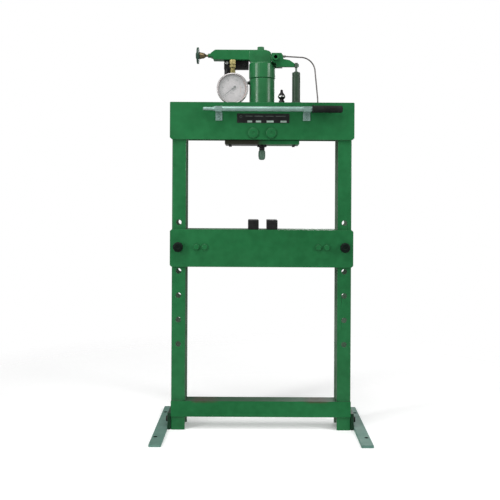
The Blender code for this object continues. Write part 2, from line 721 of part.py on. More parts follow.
def make_head_casting():
    floor = BARREL_TOP + GAP
    lip = TANK_RADIUS - 2 * MM
    profile = [
        (0, floor),
        (BARREL_RADIUS + GAP, floor),
        (BARREL_RADIUS + GAP, TANK_TOP + GAP),
        (lip, TANK_TOP + GAP),
        (lip, TANK_TOP + 3 * MM),
        (COLLAR_RADIUS, TANK_TOP + 3 * MM),
        (COLLAR_RADIUS, COLLAR_TOP - 2 * MM),
        (COLLAR_RADIUS - 2 * MM, COLLAR_TOP),
        (0, COLLAR_TOP),
    ]
    casting = turned("head_casting", profile, "green_paint", (0, 0, 0))
    bridge_outline = [
        (BRIDGE_LEFT + 5 * MM, BRIDGE_ROOT),
        (BRIDGE_RIGHT, BRIDGE_ROOT),
        (BRIDGE_RIGHT, ARM_HIGH - 10 * MM),
        (BRIDGE_RIGHT - 7 * MM, ARM_HIGH - 4 * MM),
        (BRIDGE_RIGHT - 20 * MM, ARM_HIGH),
        (BRIDGE_LEFT, ARM_HIGH),
        (BRIDGE_LEFT, ARM_LOW),
        (BRIDGE_LEFT + 5 * MM, ARM_LOW - 6 * MM),
    ]
    bridge = prism("head_bridge", bridge_outline, "Y", -ARM_HALF_DEPTH, ARM_HALF_DEPTH, None)
    yoke_rear_outline = [
        (YOKE_REAR_ROOT_X, YOKE_ROOT),
        (YOKE_RIGHT - MM, YOKE_ROOT),
        (YOKE_RIGHT - MM, YOKE_REAR_SHOULDER[1]),
        (YOKE_REAR_SHOULDER[0], YOKE_REAR_TOP),
        (YOKE_REAR_ROOT_X, YOKE_REAR_TOP),
    ]
    yoke_rear = prism("yoke_rear_wall", yoke_rear_outline, "Y", *YOKE_REAR, None)
    rocker_space = block(
        "rocker_space",
        (YOKE_INNER[0], -TANK_CLEAR, YOKE_FLOOR),
        (TANK_CLEAR, TANK_CLEAR, LUG_TOP),
        None,
    )
    lug_outline = [
        (-10 * MM, YOKE_ROOT),
        (YOKE_REAR[1] - MM, YOKE_ROOT),
        (YOKE_REAR[1] - MM, YOKE_REAR_SHOULDER[1] + 2 * MM),
        (20 * MM, LUG_TOP),
        (4 * MM, LUG_TOP),
    ]
    lug_outline += arc((0, PIVOT_Z), HUB_RADIUS + MM, 100, 225, 6)
    lug = prism("yoke_lug", lug_outline, "X", YOKE_INNER[1], YOKE_RIGHT, None)
    boolean(casting, rocker_space, "DIFFERENCE")
    boolean(casting, bridge, "UNION")
    boolean(casting, yoke_rear, "UNION")
    boolean(casting, lug, "UNION")
    drill(casting, [(0, PIVOT_Z)], SHAFT_RADIUS + GAP, "X", SHAFT_LEFT - GAP, YOKE_RIGHT + MM)
    thread_foot = ARM_HIGH - PLUG_DEPTH - 0.5 * MM
    drill(casting, [(PLUG_X, 0)], PLUG_THREAD + GAP, "Z", thread_foot, ARM_HIGH + MM)


def make_ram():
    slide = joint("ram_slide", (0, 0, ROD_BOTTOM))
    axis_point = (0, 0, ROD_BOTTOM)
    rod = [
        (0, ROD_SOCKET),
        (NOSE_SPIGOT + GAP, ROD_SOCKET),
        (NOSE_SPIGOT + GAP, 0),
        (ROD_RADIUS - MM, 0),
        (ROD_RADIUS, MM),
        (ROD_RADIUS, PISTON_LOW - GAP - ROD_BOTTOM),
        (SPIGOT_RADIUS, PISTON_LOW - GAP - ROD_BOTTOM),
        (SPIGOT_RADIUS, PISTON_HIGH - ROD_BOTTOM),
        (0, PISTON_HIGH - ROD_BOTTOM),
    ]
    turned("ram_rod", rod, "bright_steel", axis_point, parent=slide)
    outer = BARREL_BORE - GAP
    foot = PISTON_LOW - ROD_BOTTOM
    head = PISTON_HIGH - ROD_BOTTOM
    ring_low, groove_low, groove_high, ring_high = [foot + height for height in PISTON_RING]
    piston = [
        (SPIGOT_RADIUS + GAP, foot),
        (outer, foot),
        (outer, ring_low),
        (outer - PISTON_RING_DEPTH, groove_low),
        (outer - PISTON_RING_DEPTH, groove_high),
        (outer, ring_high),
        (outer, head),
        (SPIGOT_RADIUS + GAP, head),
    ]
    turned("piston", piston, "bright_steel", axis_point, closed=True, parent=slide)
    bulb_height = NOSE_SHOULDER - NOSE_TIP
    rounding = [(0, NOSE_TIP - ROD_BOTTOM), (NOSE_BULB * 0.55, NOSE_TIP - ROD_BOTTOM)]
    for share, reach in ((0.10, 0.80), (0.30, 0.96), (0.50, 1.0), (0.80, 0.97)):
        rounding.append((NOSE_BULB * reach, NOSE_TIP + bulb_height * share - ROD_BOTTOM))
    nose = rounding + [
        (NOSE_NECK, NOSE_SHOULDER - ROD_BOTTOM),
        (NOSE_NECK, -GAP),
        (NOSE_SPIGOT, -GAP),
        (NOSE_SPIGOT, ROD_SOCKET - MM),
        (0, ROD_SOCKET - MM),
    ]
    turned("press_nose", nose, "pump_paint", axis_point, segments=SMALL_SEGMENTS, parent=slide)
    low = GLAND_TOP + SPRING_WIRE + GAP
    high = PISTON_LOW - SPRING_WIRE - 2 * GAP
    steps = SPRING_TURNS * SPRING_STEPS
    stations = []
    for i in range(steps + 1):
        angle = 2 * math.pi * i / SPRING_STEPS
        height = low + (high - low) * i / steps
        point = (SPRING_RADIUS * math.cos(angle), SPRING_RADIUS * math.sin(angle), height)
        stations.append((point, SPRING_WIRE))
    swept("return_spring", stations, "black_steel", 5)


def make_manifold():
    outline = [
        (ARM_RIGHT, ARM_LOW),
        (ARM_RIGHT, ARM_HIGH),
        (ARM_SHOULDERS[0], ARM_HIGH),
        (ARM_LEFT, ARM_NOSE[2]),
        (ARM_LEFT, ARM_NOSE[1]),
        (ARM_SHOULDERS[1], ARM_NOSE[0]),
        (ARM_SHOULDERS[2], ARM_LOW),
    ]
    arm = prism("manifold_arm", outline, "Y", -ARM_HALF_DEPTH, ARM_HALF_DEPTH, "green_paint")
    edges = arm.modifiers.new("chamfer", "BEVEL")
    edges.width = 1 * MM
    edges.segments = 1
    drill(arm, [(0, VALVE_Z)], VALVE_STEM + GAP, "X", ARM_LEFT - MM, ARM_LEFT + 40 * MM, HOLE_SEGMENTS)
    relief = block("relief_valve_block", RELIEF_BLOCK_LOW, RELIEF_BLOCK_HIGH, "black_steel", 1 * MM)
    boss_shape = rod_profile(RELIEF_BOSS_RADIUS, *RELIEF_BOSS_SPAN, 1.5 * MM)
    boss = turned("relief_valve_boss", boss_shape, None, (*RELIEF_BOSS, 0), segments=HOLE_SEGMENTS)
    boolean(relief, boss, "UNION")
    valve_axis = (ARM_LEFT, 0, VALVE_Z)
    turn = joint("release_valve_turn", valve_axis)
    valve = [
        (0, -55 * MM),
        (10 * MM, -55 * MM),
        (12 * MM, -53 * MM),
        (15 * MM, -48 * MM),
        (VALVE_DISK - 2 * MM, -52 * MM),
        (VALVE_DISK, -50 * MM),
        (VALVE_DISK, -44.5 * MM),
        (VALVE_DISK - 2 * MM, -42.5 * MM),
        (14.5 * MM, -42.5 * MM),
        (12 * MM, -36 * MM),
        (10.5 * MM, -24 * MM),
        (7.5 * MM, -20 * MM),
        (VALVE_STEM, -17 * MM),
        (VALVE_STEM, 36 * MM),
        (0, 39.5 * MM),
    ]
    turned("release_valve", valve, "green_paint", valve_axis, "X", segments=SMALL_SEGMENTS, parent=turn)


def make_gauge():
    centre = (GAUGE_X, 0, GAUGE_Z)
    inner = DIAL_RADIUS + GAP
    case = [
        (0, GAUGE_BACK - 3 * MM),
        (inner, GAUGE_BACK - 3 * MM),
        (inner, GLASS_FRONT),
        (BEZEL_OPENING, GLASS_FRONT),
        (BEZEL_OPENING, GAUGE_FRONT),
        (GAUGE_RADIUS - 2 * MM, GAUGE_FRONT),
        (GAUGE_RADIUS, GAUGE_FRONT + 2 * MM),
        (GAUGE_RADIUS, GAUGE_FRONT + 7 * MM),
        (GAUGE_RADIUS - MM, GAUGE_FRONT + 8 * MM),
        (GAUGE_RADIUS - MM, GAUGE_BACK),
        (0, GAUGE_BACK),
    ]
    turned("gauge_case", case, "gauge_face", centre, "Y")
    dial = tube_profile(2 * MM, DIAL_RADIUS, DIAL_FRONT, DIAL_FRONT + MM)
    turned("gauge_dial", dial, "gauge_face", centre, "Y", closed=True)
    glass = rod_profile(DIAL_RADIUS, GLASS_FRONT + GAP, GLASS_FRONT + GAP + GLASS_THICKNESS)
    turned("gauge_glass", glass, "glass", centre, "Y")
    union_flats, union_low = GAUGE_UNION
    case_top = GAUGE_Z + GAUGE_RADIUS + GAP
    stem = [
        (0, ARM_LOW - GAP),
        (union_flats, ARM_LOW - GAP, "hex"),
        (union_flats, union_low, "hex"),
        (GAUGE_STEM_RADIUS, union_low - 2 * MM),
        (GAUGE_STEM_RADIUS, case_top),
        (0, case_top),
    ]
    turned("gauge_stem", stem, "brass", (GAUGE_X, GAUGE_STEM_Y, 0), segments=SMALL_SEGMENTS)
    make_needle()


def make_needle():
    pivot = (GAUGE_X, NEEDLE_FRONT, GAUGE_Z)
    centre = (GAUGE_X, 0, GAUGE_Z)
    turn = joint("gauge_needle_turn", pivot)
    along = Vector((math.cos(NEEDLE_ANGLE), math.sin(NEEDLE_ANGLE)))
    across = Vector((-along.y, along.x))
    half_outline = [(NEEDLE_LENGTH, 0.4 * MM), (0, 1.6 * MM), (-NEEDLE_TAIL, 1.3 * MM)]
    far_side = [(reach, -width) for reach, width in reversed(half_outline)]
    outline = [along * reach + across * width for reach, width in half_outline + far_side]
    needle = prism("gauge_needle", outline, "Y", 0, NEEDLE_THICKNESS, "black_steel", pivot, turn)
    spindle_end = DIAL_FRONT + 5 * MM
    hub = [
        (0, NEEDLE_FRONT - MM),
        (3.5 * MM, NEEDLE_FRONT - MM),
        (3.5 * MM, DIAL_FRONT - 1.5 * MM),
        (1.5 * MM, DIAL_FRONT - 1.5 * MM),
        (1.5 * MM, spindle_end),
        (0, spindle_end),
    ]
    boolean(needle, turned("gauge_needle_hub", hub, None, centre, "Y", segments=12), "UNION")
    tail = along * -NEEDLE_TAIL
    weight_front = NEEDLE_FRONT - 0.5 * MM
    weight_shape = rod_profile(NEEDLE_WEIGHT, weight_front, weight_front + NEEDLE_THICKNESS + MM)
    weight_spot = (GAUGE_X + tail.x, 0, GAUGE_Z + tail.y)
    weight = turned("gauge_needle_weight", weight_shape, None, weight_spot, "Y", segments=HOLE_SEGMENTS)
    boolean(needle, weight, "UNION")


def make_pump():
    spot = (PUMP_X, PUMP_Y, 0)
    barrel = [
        (0, PUMP_BORE_LOW),
        (PLUNGER_RADIUS + GAP, PUMP_BORE_LOW),
        (PLUNGER_RADIUS + GAP, PUMP_TOP),
        (PUMP_RADIUS - MM, PUMP_TOP),
        (PUMP_RADIUS, PUMP_TOP - MM),
        (PUMP_RADIUS, DECK_SEAT + 9 * MM),
        (PUMP_FLANGE, DECK_SEAT + 8 * MM),
        (PUMP_FLANGE, DECK_SEAT),
        (0, DECK_SEAT),
    ]
    turned("pump_barrel", barrel, "pump_paint", spot, segments=SMALL_SEGMENTS)
    slide = joint("pump_plunger_slide", (PUMP_X, PUMP_Y, EYE_Z))
    plunger = block(
        "pump_plunger",
        (PUMP_X - PLUNGER_HALF_WIDTH, PUMP_Y + PLUNGER_DEPTH[0], EYE_Z - PLUNGER_HALF_HEIGHT),
        (PUMP_X + PLUNGER_HALF_WIDTH, PUMP_Y + PLUNGER_DEPTH[1], EYE_Z + PLUNGER_HALF_HEIGHT),
        "bright_steel",
        1 * MM,
        slide,
    )
    rod_shape = rod_profile(PLUNGER_RADIUS, PLUNGER_LOW, EYE_Z - PLUNGER_HALF_HEIGHT + 1.5 * MM)
    rod = turned("pump_plunger_rod", rod_shape, None, spot, segments=HOLE_SEGMENTS)
    slot = block(
        "pump_plunger_slot",
        (PUMP_X - PLUNGER_HALF_WIDTH - 2.5 * MM, PUMP_Y + PLUNGER_SLOT_DEPTH[0], EYE_Z - PLUNGER_SLOT_HALF),
        (PUMP_X + PLUNGER_HALF_WIDTH + 2.5 * MM, PUMP_Y + PLUNGER_SLOT_DEPTH[1], EYE_Z + PLUNGER_SLOT_HALF),
        None,
        2 * MM,
    )
    boolean(plunger, rod, "UNION")
    boolean(plunger, slot, "DIFFERENCE")
    make_rocker()
    head_flats, head_thickness = SHAFT_HEAD
    head_seat = YOKE_RIGHT + GAP
    shaft = [
        (0, SHAFT_LEFT),
        (SHAFT_RADIUS - MM, SHAFT_LEFT),
        (SHAFT_RADIUS, SHAFT_LEFT + MM),
        (SHAFT_RADIUS, head_seat),
        (head_flats, head_seat, "hex"),
        (head_flats, head_seat + head_thickness, "hex"),
        (0, head_seat + head_thickness),
    ]
    turned("rocker_shaft", shaft, "bright_steel", (0, 0, PIVOT_Z), "X", segments=SMALL_SEGMENTS)


def make_rocker():
    pivot = (0, 0, PIVOT_Z)
    turn = joint("pump_rocker_turn", pivot)
    tip = PUMP_X - PLUNGER_HALF_WIDTH - 2 * GAP
    outline = [
        (50 * MM, EYE_Z - 6 * MM),
        (tip, EYE_Z - 6 * MM),
        (tip, EYE_Z + 6.5 * MM),
        (98 * MM, PIVOT_Z + 1.5 * MM),
        (76 * MM, PIVOT_Z + 5.5 * MM),
        (74 * MM, PIVOT_Z + 19 * MM),
        (69 * MM, ROCKER_TOP),
        (ROCKER_LEFT, ROCKER_TOP),
        (ROCKER_LEFT, PIVOT_Z - 4 * MM),
        (50 * MM, PIVOT_Z - 10 * MM),
    ]
    local = [(x, z - PIVOT_Z) for x, z in outline]
    rocker = prism("pump_rocker", local, "Y", *ROCKER_PLATE, "green_paint", pivot, turn)
    hub_shape = rod_profile(HUB_RADIUS, YOKE_INNER[0] + 2 * GAP, YOKE_INNER[1] - 2 * GAP)
    hub = turned("rocker_hub", hub_shape, None, pivot, "X", segments=SMALL_SEGMENTS)
    socket_shape = rod_profile(SOCKET_RADIUS, SOCKET_FRONT, SOCKET_REAR, MM)
    socket = turned("rocker_socket", socket_shape, None, (SOCKET_X, 0, SOCKET_Z), "Y", segments=SMALL_SEGMENTS)
    pin_head = PUMP_X + PLUNGER_HALF_WIDTH + 0.8 * MM
    pin_profile = [
        (0, tip - 2 * MM),
        (EYE_PIN, tip - 2 * MM),
        (EYE_PIN, pin_head),
        (2 * EYE_PIN, pin_head),
        (2 * EYE_PIN, pin_head + 2.7 * MM),
        (0, pin_head + 2.7 * MM),
    ]
    pin = turned("rocker_eye_pin", pin_profile, None, (0, PUMP_Y, EYE_Z), "X", segments=HOLE_SEGMENTS)
    for tool in (hub, socket, pin):
        boolean(rocker, tool, "UNION")
    drill(rocker, [(0, PIVOT_Z)], SHAFT_RADIUS + GAP, "X", 30 * MM, 66 * MM)
    drill(rocker, [(SOCKET_X, SOCKET_Z)], SOCKET_BORE, "Y", SOCKET_FRONT - MM, -17 * MM)


def pipe_stations():
    """Stations of the pressure pipe: a nut, a run to a bend, and a run down to a second nut."""
    start_x = YOKE_RIGHT + GAP
    stations = [
        ((start_x, PIPE_Y, PIPE_START_Z), PIPE_NUT),
        ((start_x + PIPE_NUT_LENGTH, PIPE_Y, PIPE_START_Z), PIPE_NUT),
        ((start_x + PIPE_NUT_LENGTH + MM, PIPE_Y, PIPE_START_Z), PIPE_RADIUS),
    ]
    for x, z in arc(PIPE_BEND, PIPE_BEND_RADIUS, 90, 7, 8):
        stations.append(((x, PIPE_Y, z), PIPE_RADIUS))
    stations += [
        ((PIPE_END_X, PIPE_Y, DECK_SEAT + 19 * MM), PIPE_RADIUS),
        ((PIPE_END_X, PIPE_Y, DECK_SEAT + 16 * MM), PIPE_NUT),
        ((PIPE_END_X, PIPE_Y, DECK_SEAT), PIPE_NUT),
    ]
    return stations


def make_pipe_and_breather():
    swept("oil_pipe", pipe_stations(), "pipe_steel", 10)
    shape = (
        (10.5, 0, "hex"),
        (10.5, 15, "hex"),
        (9, 17),
        (9, 21),
        (13.5, 26),
        (13.5, 34),
        (11, 41),
        (6, 49),
        (5, 54),
        (3, 57),
    )
    profile = [(radius * MM, DECK_SEAT + height * MM, *hexagon) for radius, height, *hexagon in shape]
    breather = [(0, profile[0][1]), *profile, (0, profile[-1][1])]
    turned("breather_cap", breather, "black_steel", (BREATHER_X, BREATHER_Y, 0), segments=SMALL_SEGMENTS)


def make_pump_handle():
    axis_point = (0, HANDLE_Y, HANDLE_Z)
    lift = joint("pump_handle_lift", axis_point)
    bore_end = GRIP_END - GRIP_WALL
    bar = [
        (0, HANDLE_LEFT),
        (HANDLE_TIP - MM, HANDLE_LEFT),
        (HANDLE_TIP, HANDLE_LEFT + MM),
        (HANDLE_TIP, HANDLE_LEFT + HANDLE_TIP_LENGTH),
        (HANDLE_RADIUS, HANDLE_LEFT + HANDLE_TIP_LENGTH + HANDLE_TAPER),
        (HANDLE_RADIUS, bore_end - GAP),
        (0, bore_end - GAP),
    ]
    turned("pump_handle_bar", bar, "bright_steel", axis_point, "X", segments=SMALL_SEGMENTS, parent=lift)
    grip = [
        (0, GRIP_END),
        (GRIP_RADIUS - 3 * MM, GRIP_END),
        (GRIP_RADIUS, GRIP_END - 3 * MM),
        (GRIP_RADIUS, GRIP_START + 6 * MM),
        (GRIP_RADIUS + GRIP_COLLAR, GRIP_START + 4 * MM),
        (GRIP_RADIUS + GRIP_COLLAR, GRIP_START),
        (HANDLE_RADIUS + GAP, GRIP_START),
        (HANDLE_RADIUS + GAP, bore_end),
        (0, bore_end),
    ]
    turned("pump_handle_grip", grip, "black_rubber", axis_point, "X", segments=SMALL_SEGMENTS, parent=lift)
    cradle = HANDLE_RADIUS + GAP
    outer = cradle + HOOK_STRAP
    back = -PLATE_FACE - GAP
    centre = (HANDLE_Y, HANDLE_Z)
    outline = [(back, HOOK_LOW), (back, HANDLE_Z - cradle)]
    outline += arc(centre, cradle, 270, 180, 6)
    outline += [(HANDLE_Y - cradle, HOOK_LIP), (HANDLE_Y - outer, HOOK_LIP)]
    outline += arc(centre, outer, 180, 270, 6)
    outline += [(back - HOOK_STRAP, HANDLE_Z - outer), (back - HOOK_STRAP, HOOK_LOW)]
    for side, _ in SIDES:
        prism(f"{side}_handle_hook", outline, "X", *HOOK_X[side], "bright_steel")


def main():
    for old in list(bpy.data.objects):
        bpy.data.objects.remove(old, do_unlink=True)
    make_uprights()
    make_crown()
    make_lower_frame()
    make_bolster()
    make_bolster_pins()
    make_press_blocks()
    make_cylinder()
    make_ram()
    make_manifold()
    make_gauge()
    make_pump()
    make_pipe_and_breather()
    make_pump_handle()


main()
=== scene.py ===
import json
import math
import random

import bmesh
import bpy
from mathutils import Matrix, Vector


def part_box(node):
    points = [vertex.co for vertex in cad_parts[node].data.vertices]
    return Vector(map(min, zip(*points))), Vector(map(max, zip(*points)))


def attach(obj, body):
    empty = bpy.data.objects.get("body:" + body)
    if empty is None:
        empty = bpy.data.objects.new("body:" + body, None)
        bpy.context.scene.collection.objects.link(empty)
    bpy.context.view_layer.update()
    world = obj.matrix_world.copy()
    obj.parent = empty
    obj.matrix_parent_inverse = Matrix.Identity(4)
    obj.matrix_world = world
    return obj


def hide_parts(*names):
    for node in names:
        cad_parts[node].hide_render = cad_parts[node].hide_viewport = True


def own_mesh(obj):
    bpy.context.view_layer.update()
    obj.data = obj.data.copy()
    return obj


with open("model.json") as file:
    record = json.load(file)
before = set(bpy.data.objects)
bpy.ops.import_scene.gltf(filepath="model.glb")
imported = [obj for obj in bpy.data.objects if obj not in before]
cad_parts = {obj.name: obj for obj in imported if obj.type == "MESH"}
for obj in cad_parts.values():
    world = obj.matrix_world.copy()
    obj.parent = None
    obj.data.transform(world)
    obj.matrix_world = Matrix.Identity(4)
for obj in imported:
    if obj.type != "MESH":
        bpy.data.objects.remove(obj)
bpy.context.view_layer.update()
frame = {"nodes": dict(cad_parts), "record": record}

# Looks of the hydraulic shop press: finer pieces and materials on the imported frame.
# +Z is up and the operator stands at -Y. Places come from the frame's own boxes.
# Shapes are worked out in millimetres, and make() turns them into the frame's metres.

MM = 0.001
TINY = 1e-4  # mm, smaller than any real size
GAP = 0.3  # mm between pieces that are fitted together
SIDES = (("left", -1), ("right", 1))
FACES = (("front", -1), ("rear", 1))
FINE = 120  # segments of a large turned piece
MEDIUM = 72
SMALL = 36
SMOOTH_ANGLE = math.radians(38)
WELD_REACH = 0.01 * MM
BEAD_ANGLE = math.radians(60)
SEXTANT = math.radians(60)
TURNED_TO = {
    "X": Matrix.Rotation(math.pi / 2, 4, "Y"),
    "-X": Matrix.Rotation(-math.pi / 2, 4, "Y"),
    "Y": Matrix.Rotation(-math.pi / 2, 4, "X"),
    "Z": Matrix(),
}
RAM_AXIS = (0, 0, 0)
random.seed(12)


# ---- materials


class Graph:
    """One material's nodes, written as short calls. Places are in metres, depths in millimetres."""

    def __init__(self, name, specular=0.5, coat=0.0):
        self.material = bpy.data.materials.new(name)
        self.material.use_nodes = True
        self.tree = self.material.node_tree
        self.shader = self.tree.nodes["Principled BSDF"]
        self.feed(self.shader, {"Specular IOR Level": specular, "Coat Weight": coat})
        self.place = self.node("TexCoord")["Object"]

    def feed(self, made, values):
        """Gives a node's inputs, by name or number, outputs to follow or plain values."""
        for key, value in values.items():
            socket = made.inputs[key]
            if isinstance(value, bpy.types.NodeSocket):
                self.tree.links.new(value, socket)
            elif value is not None:
                socket.default_value = (*value, 1) if socket.type == "RGBA" else value

    def node(self, kind, values=None, **settings):
        """The outputs of a new node."""
        made = self.tree.nodes.new("ShaderNode" + kind)
        for key, value in settings.items():
            setattr(made, key, value)
        self.feed(made, values or {})
        return made.outputs

    def noise(self, scale, detail=3.0, roughness=0.5, stretch=None):
        place = self.place
        if stretch:
            place = self.node("VectorMath", {0: place, 1: stretch}, operation="MULTIPLY")[0]
        values = {"Vector": place, "Scale": scale, "Detail": detail, "Roughness": roughness}
        return self.node("TexNoise", values)["Fac"]

    def math(self, operation, a, b=0.0):
        return self.node("Math", {0: a, 1: b}, operation=operation)[0]

    def add(self, a, b):
        return self.math("ADD", a, b)

    def times(self, product, *factors):
        for factor in factors:
            product = self.math("MULTIPLY", product, factor)
        return product

    def span(self, value, low, high, to_low=0.0, to_high=1.0):
        return self.node("MapRange", dict(enumerate((value, low, high, to_low, to_high))))[0]

    def patches(self, noise, *limits):
        """Noise, as the arguments of noise(), spread between the limits of span()."""
        return self.span(self.noise(*noise), *limits)

    def mix(self, factor, a, b):
        return self.node("Mix", {0: factor, 6: a, 7: b}, data_type="RGBA")[2]

    def component(self, axis, source=None):
        return self.node("SeparateXYZ", {0: source or self.place})["XYZ".index(axis)]

    def normal(self, axis=None):
        """The surface's direction, or how far it looks along one axis."""
        made = self.node("NewGeometry")["Normal"]
        return self.component(axis, made) if axis else made

    def upward(self):
        """1 on faces that look up, 0 on walls and undersides."""
        return self.span(self.normal("Z"), 0.3, 0.9)

    def rims(self, radius):
        """Near 1 along outward and inward edges, 0 on flat faces."""
        wide = self.node("Bevel", {"Radius": radius * MM}, samples=4)[0]
        dot = self.node("VectorMath", {0: wide, 1: self.normal()}, operation="DOT_PRODUCT")
        return self.span(dot["Value"], 0.995, 0.90)

    def bump(self, height, depth, normal=None):
        return self.node("Bump", {"Distance": depth * MM, "Height": height, "Normal": normal})[0]

    def finish(self, colour, roughness, metallic=0.0, normal=None):
        values = {"Base Color": colour, "Roughness": roughness, "Metallic": metallic, "Normal": normal}
        self.feed(self.shader, values)
        return self.material


DUST = (0.16, 0.19, 0.165)
CHIPPED = (0.028, 0.022, 0.018)
# Brown of the patches on the lower cross member's top edge.
BROWN_PATCH = (0.055, 0.042, 0.030)
# Painted shade: dark green laid on the lower cross member's upward faces.
SHADED_SHELF = (0.018, 0.040, 0.022)
# Painted light: the pale tone laid on the uprights' inner rear-flange faces.
PAINTED_LIGHT_TONE = (0.150, 0.215, 0.160)
# Painted shade: near-black for the walls of the foot bars' holes.
HOLE_SHADE = (0.006, 0.016, 0.012)
# Near-black laid over the left half of the ram's retaining plate.
LEFT_HALF_DARK = (0.020, 0.008, 0.009)


def shaded(colour, factor, lift=0.0):
    return tuple(factor * part + lift for part in colour)


def enamel(name, tones, roughness=0.38, specular=0.17, peel=0.09, grime=0.5, stain=None):
    """Sprayed enamel, in light, dark and rubbed tones: cloudy, with orange peel, thin edges and small
    chips, soot, and dust on top faces."""
    light, dark, thin = tones
    g = Graph(name, specular)
    cloud = g.add(g.times(g.noise(6, 3), 0.6), g.times(g.noise(38, 4), 0.4))
    colour = g.mix(g.span(cloud, 0.36, 0.64), dark, light)
    rubbed = g.times(g.rims(1.6), g.patches((230, 5, 0.68), 0.42, 0.62))
    colour = g.mix(g.times(rubbed, 0.55), colour, thin)
    soot = g.times(g.patches((17, 5, 0.62), 0.55, 0.75), grime, 0.4)
    colour = g.mix(soot, colour, shaded(dark, 0.45))
    chips = g.patches((120, 4, 0.72), 0.725, 0.74)
    colour = g.mix(chips, colour, CHIPPED)
    dust = g.times(g.upward(), g.patches((28, 4, 0.6), 0.3, 0.7, 0.03, 0.16))
    colour = g.mix(dust, colour, DUST)
    if stain is not None:
        colour = stain(g, colour)
    shine = g.patches((22, 4, 0.6), 0.3, 0.7, roughness - 0.06, roughness + 0.09)
    shine = g.add(shine, g.times(g.add(rubbed, dust), 0.2))
    peeled = g.bump(g.noise(330, 2, 0.45), peel)
    return g.finish(colour, shine, normal=g.bump(g.math("SUBTRACT", 1.0, chips), 0.12, peeled))


def brown_ends_shaded_top(g, colour):
    """Brown patches along the top edge of the lower cross member, short of both uprights, and painted shade
    darkening its upward faces.
    """
    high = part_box("lower_cross_member")[1].z
    out = g.math("ABSOLUTE", g.component("X"))
    across = g.times(g.span(out, 0.15, 0.18), g.span(out, 0.255, 0.235))
    edge = g.span(g.component("Z"), high - 9 * MM, high - 2 * MM)
    share = g.times(across, edge, g.patches((30, 4), 0.3, 0.6, 0.3, 0.75))
    # Painted shade: the upward faces are darkened.
    colour = g.mix(g.times(g.upward(), 0.7), colour, SHADED_SHELF)
    return g.mix(share, colour, BROWN_PATCH)


def painted_light_inside(g, colour):
    """Painted light: a paler grey-green, in patches, on the forward-looking inner faces of the rear flanges.
    """
    forward = g.span(g.normal("Y"), -0.5, -0.9)
    behind = g.span(g.component("Y"), 0.0, 5 * MM)
    # Painted light on those faces, mixed in patches.
    return g.mix(g.times(forward, behind, g.patches((20, 4), 0.3, 0.6, 0.6, 0.95)), colour, PAINTED_LIGHT_TONE)


def shaded_holes(g, colour):
    """Painted shade on the walls of a foot bar's holes: upright faces well inside its outline."""
    low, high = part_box("right_foot_bar")
    near, far = 1 * MM, 2 * MM
    out = g.math("ABSOLUTE", g.component("X"))
    inside = g.times(g.span(out, low.x + near, low.x + far), g.span(out, high.x - near, high.x - far))
    for edge, inner in ((low.y, low.y + far), (high.y, high.y - far)):
        inside = g.times(inside, g.span(g.component("Y"), edge, inner))
    wall = g.span(g.math("ABSOLUTE", g.normal("Z")), 0.97, 0.75)
    # Painted shade: the hole walls are darkened.
    return g.mix(g.times(inside, wall), colour, HOLE_SHADE)


def darker_left_half(g, colour):
    """Near-black over the left half, fading out just right of the middle."""
    across = g.add(g.component("X"), g.times(g.noise(45, 4), 0.05))
    return g.mix(g.span(across, 0.004, 0.05, 0.88, 0.0), colour, LEFT_HALF_DARK)


def metal(name, bright, dull, roughness, lines, tarnish=0.5):
    """Ground, drawn or turned metal. lines stretches the grain: large along an axis puts lines across it."""
    g = Graph(name)
    grain = g.noise(1, 3, 0.6, lines)
    patch = g.patches((26, 5, 0.62), 0.38, 0.7)
    colour = g.mix(g.times(patch, tarnish), bright, dull)
    colour = g.mix(g.times(g.span(grain, 0.3, 0.7), 0.35), colour, dull)
    spots = g.times(g.patches((210, 4, 0.7), 0.70, 0.74), 0.6)
    colour = g.mix(spots, colour, shaded(dull, 0.3))
    shine = g.span(grain, 0.25, 0.75, roughness - 0.07, roughness + 0.1)
    return g.finish(colour, g.add(shine, g.times(patch, 0.12)), 1.0, g.bump(grain, 0.03))


def oxide(name, base, roughness, grain, depth):
    """Blackened or forged steel: mottled near-black, edges rubbed to bare metal."""
    g = Graph(name, 0.2)
    mottled = g.mix(g.patches((70, 5, 0.65), 0.35, 0.7), base, shaded(base, 2.2))
    bare = g.times(g.rims(1.2), g.patches((240, 4, 0.7), 0.45, 0.6), 0.7)
    colour = g.mix(bare, mottled, (0.20, 0.21, 0.20))
    shine = g.patches((40, 4), 0.3, 0.7, roughness - 0.08, roughness + 0.12)
    return g.finish(colour, shine, bare, g.bump(g.noise(grain, 4, 0.6), depth))


def moulded(name, base, roughness, specular=0.15, pore=0.05, scale=700):
    """Moulded plastic, rubber or thick ink: fine pores, hand grease and grey dust."""
    g = Graph(name, specular)
    greasy = g.patches((24, 4), 0.35, 0.7)
    colour = g.mix(greasy, base, shaded(base, 1.9, 0.0015))
    colour = g.mix(g.times(g.upward(), 0.06), colour, DUST)
    shine = g.add(g.times(greasy, 0.14), roughness)
    return g.finish(colour, shine, 0.0, g.bump(g.noise(scale, 3), pore))


def dial_card(name):
    """Pale enamelled sheet, faintly blotched and specked."""
    g = Graph(name, 0.35)
    blotch = g.patches((34, 4, 0.6), 0.35, 0.7)
    colour = g.mix(blotch, (0.37, 0.335, 0.345), (0.45, 0.415, 0.420))
    specks = g.times(g.patches((420, 3, 0.6), 0.70, 0.76), 0.4)
    colour = g.mix(specks, colour, (0.30, 0.27, 0.24))
    return g.finish(colour, g.span(blotch, 0, 1, 0.42, 0.55), 0.0, g.bump(g.noise(260, 2), 0.02))


def clear_glass(name):
    g = Graph(name, coat=0.3)
    g.feed(g.shader, {"Alpha": 0.13})
    smear = g.span(g.noise(30, 3, stretch=(1, 1, 3)), 0.3, 0.75, 0.03, 0.12)
    return g.finish(g.mix(g.noise(40), (0.80, 0.86, 0.84), (0.92, 0.95, 0.94)), smear)


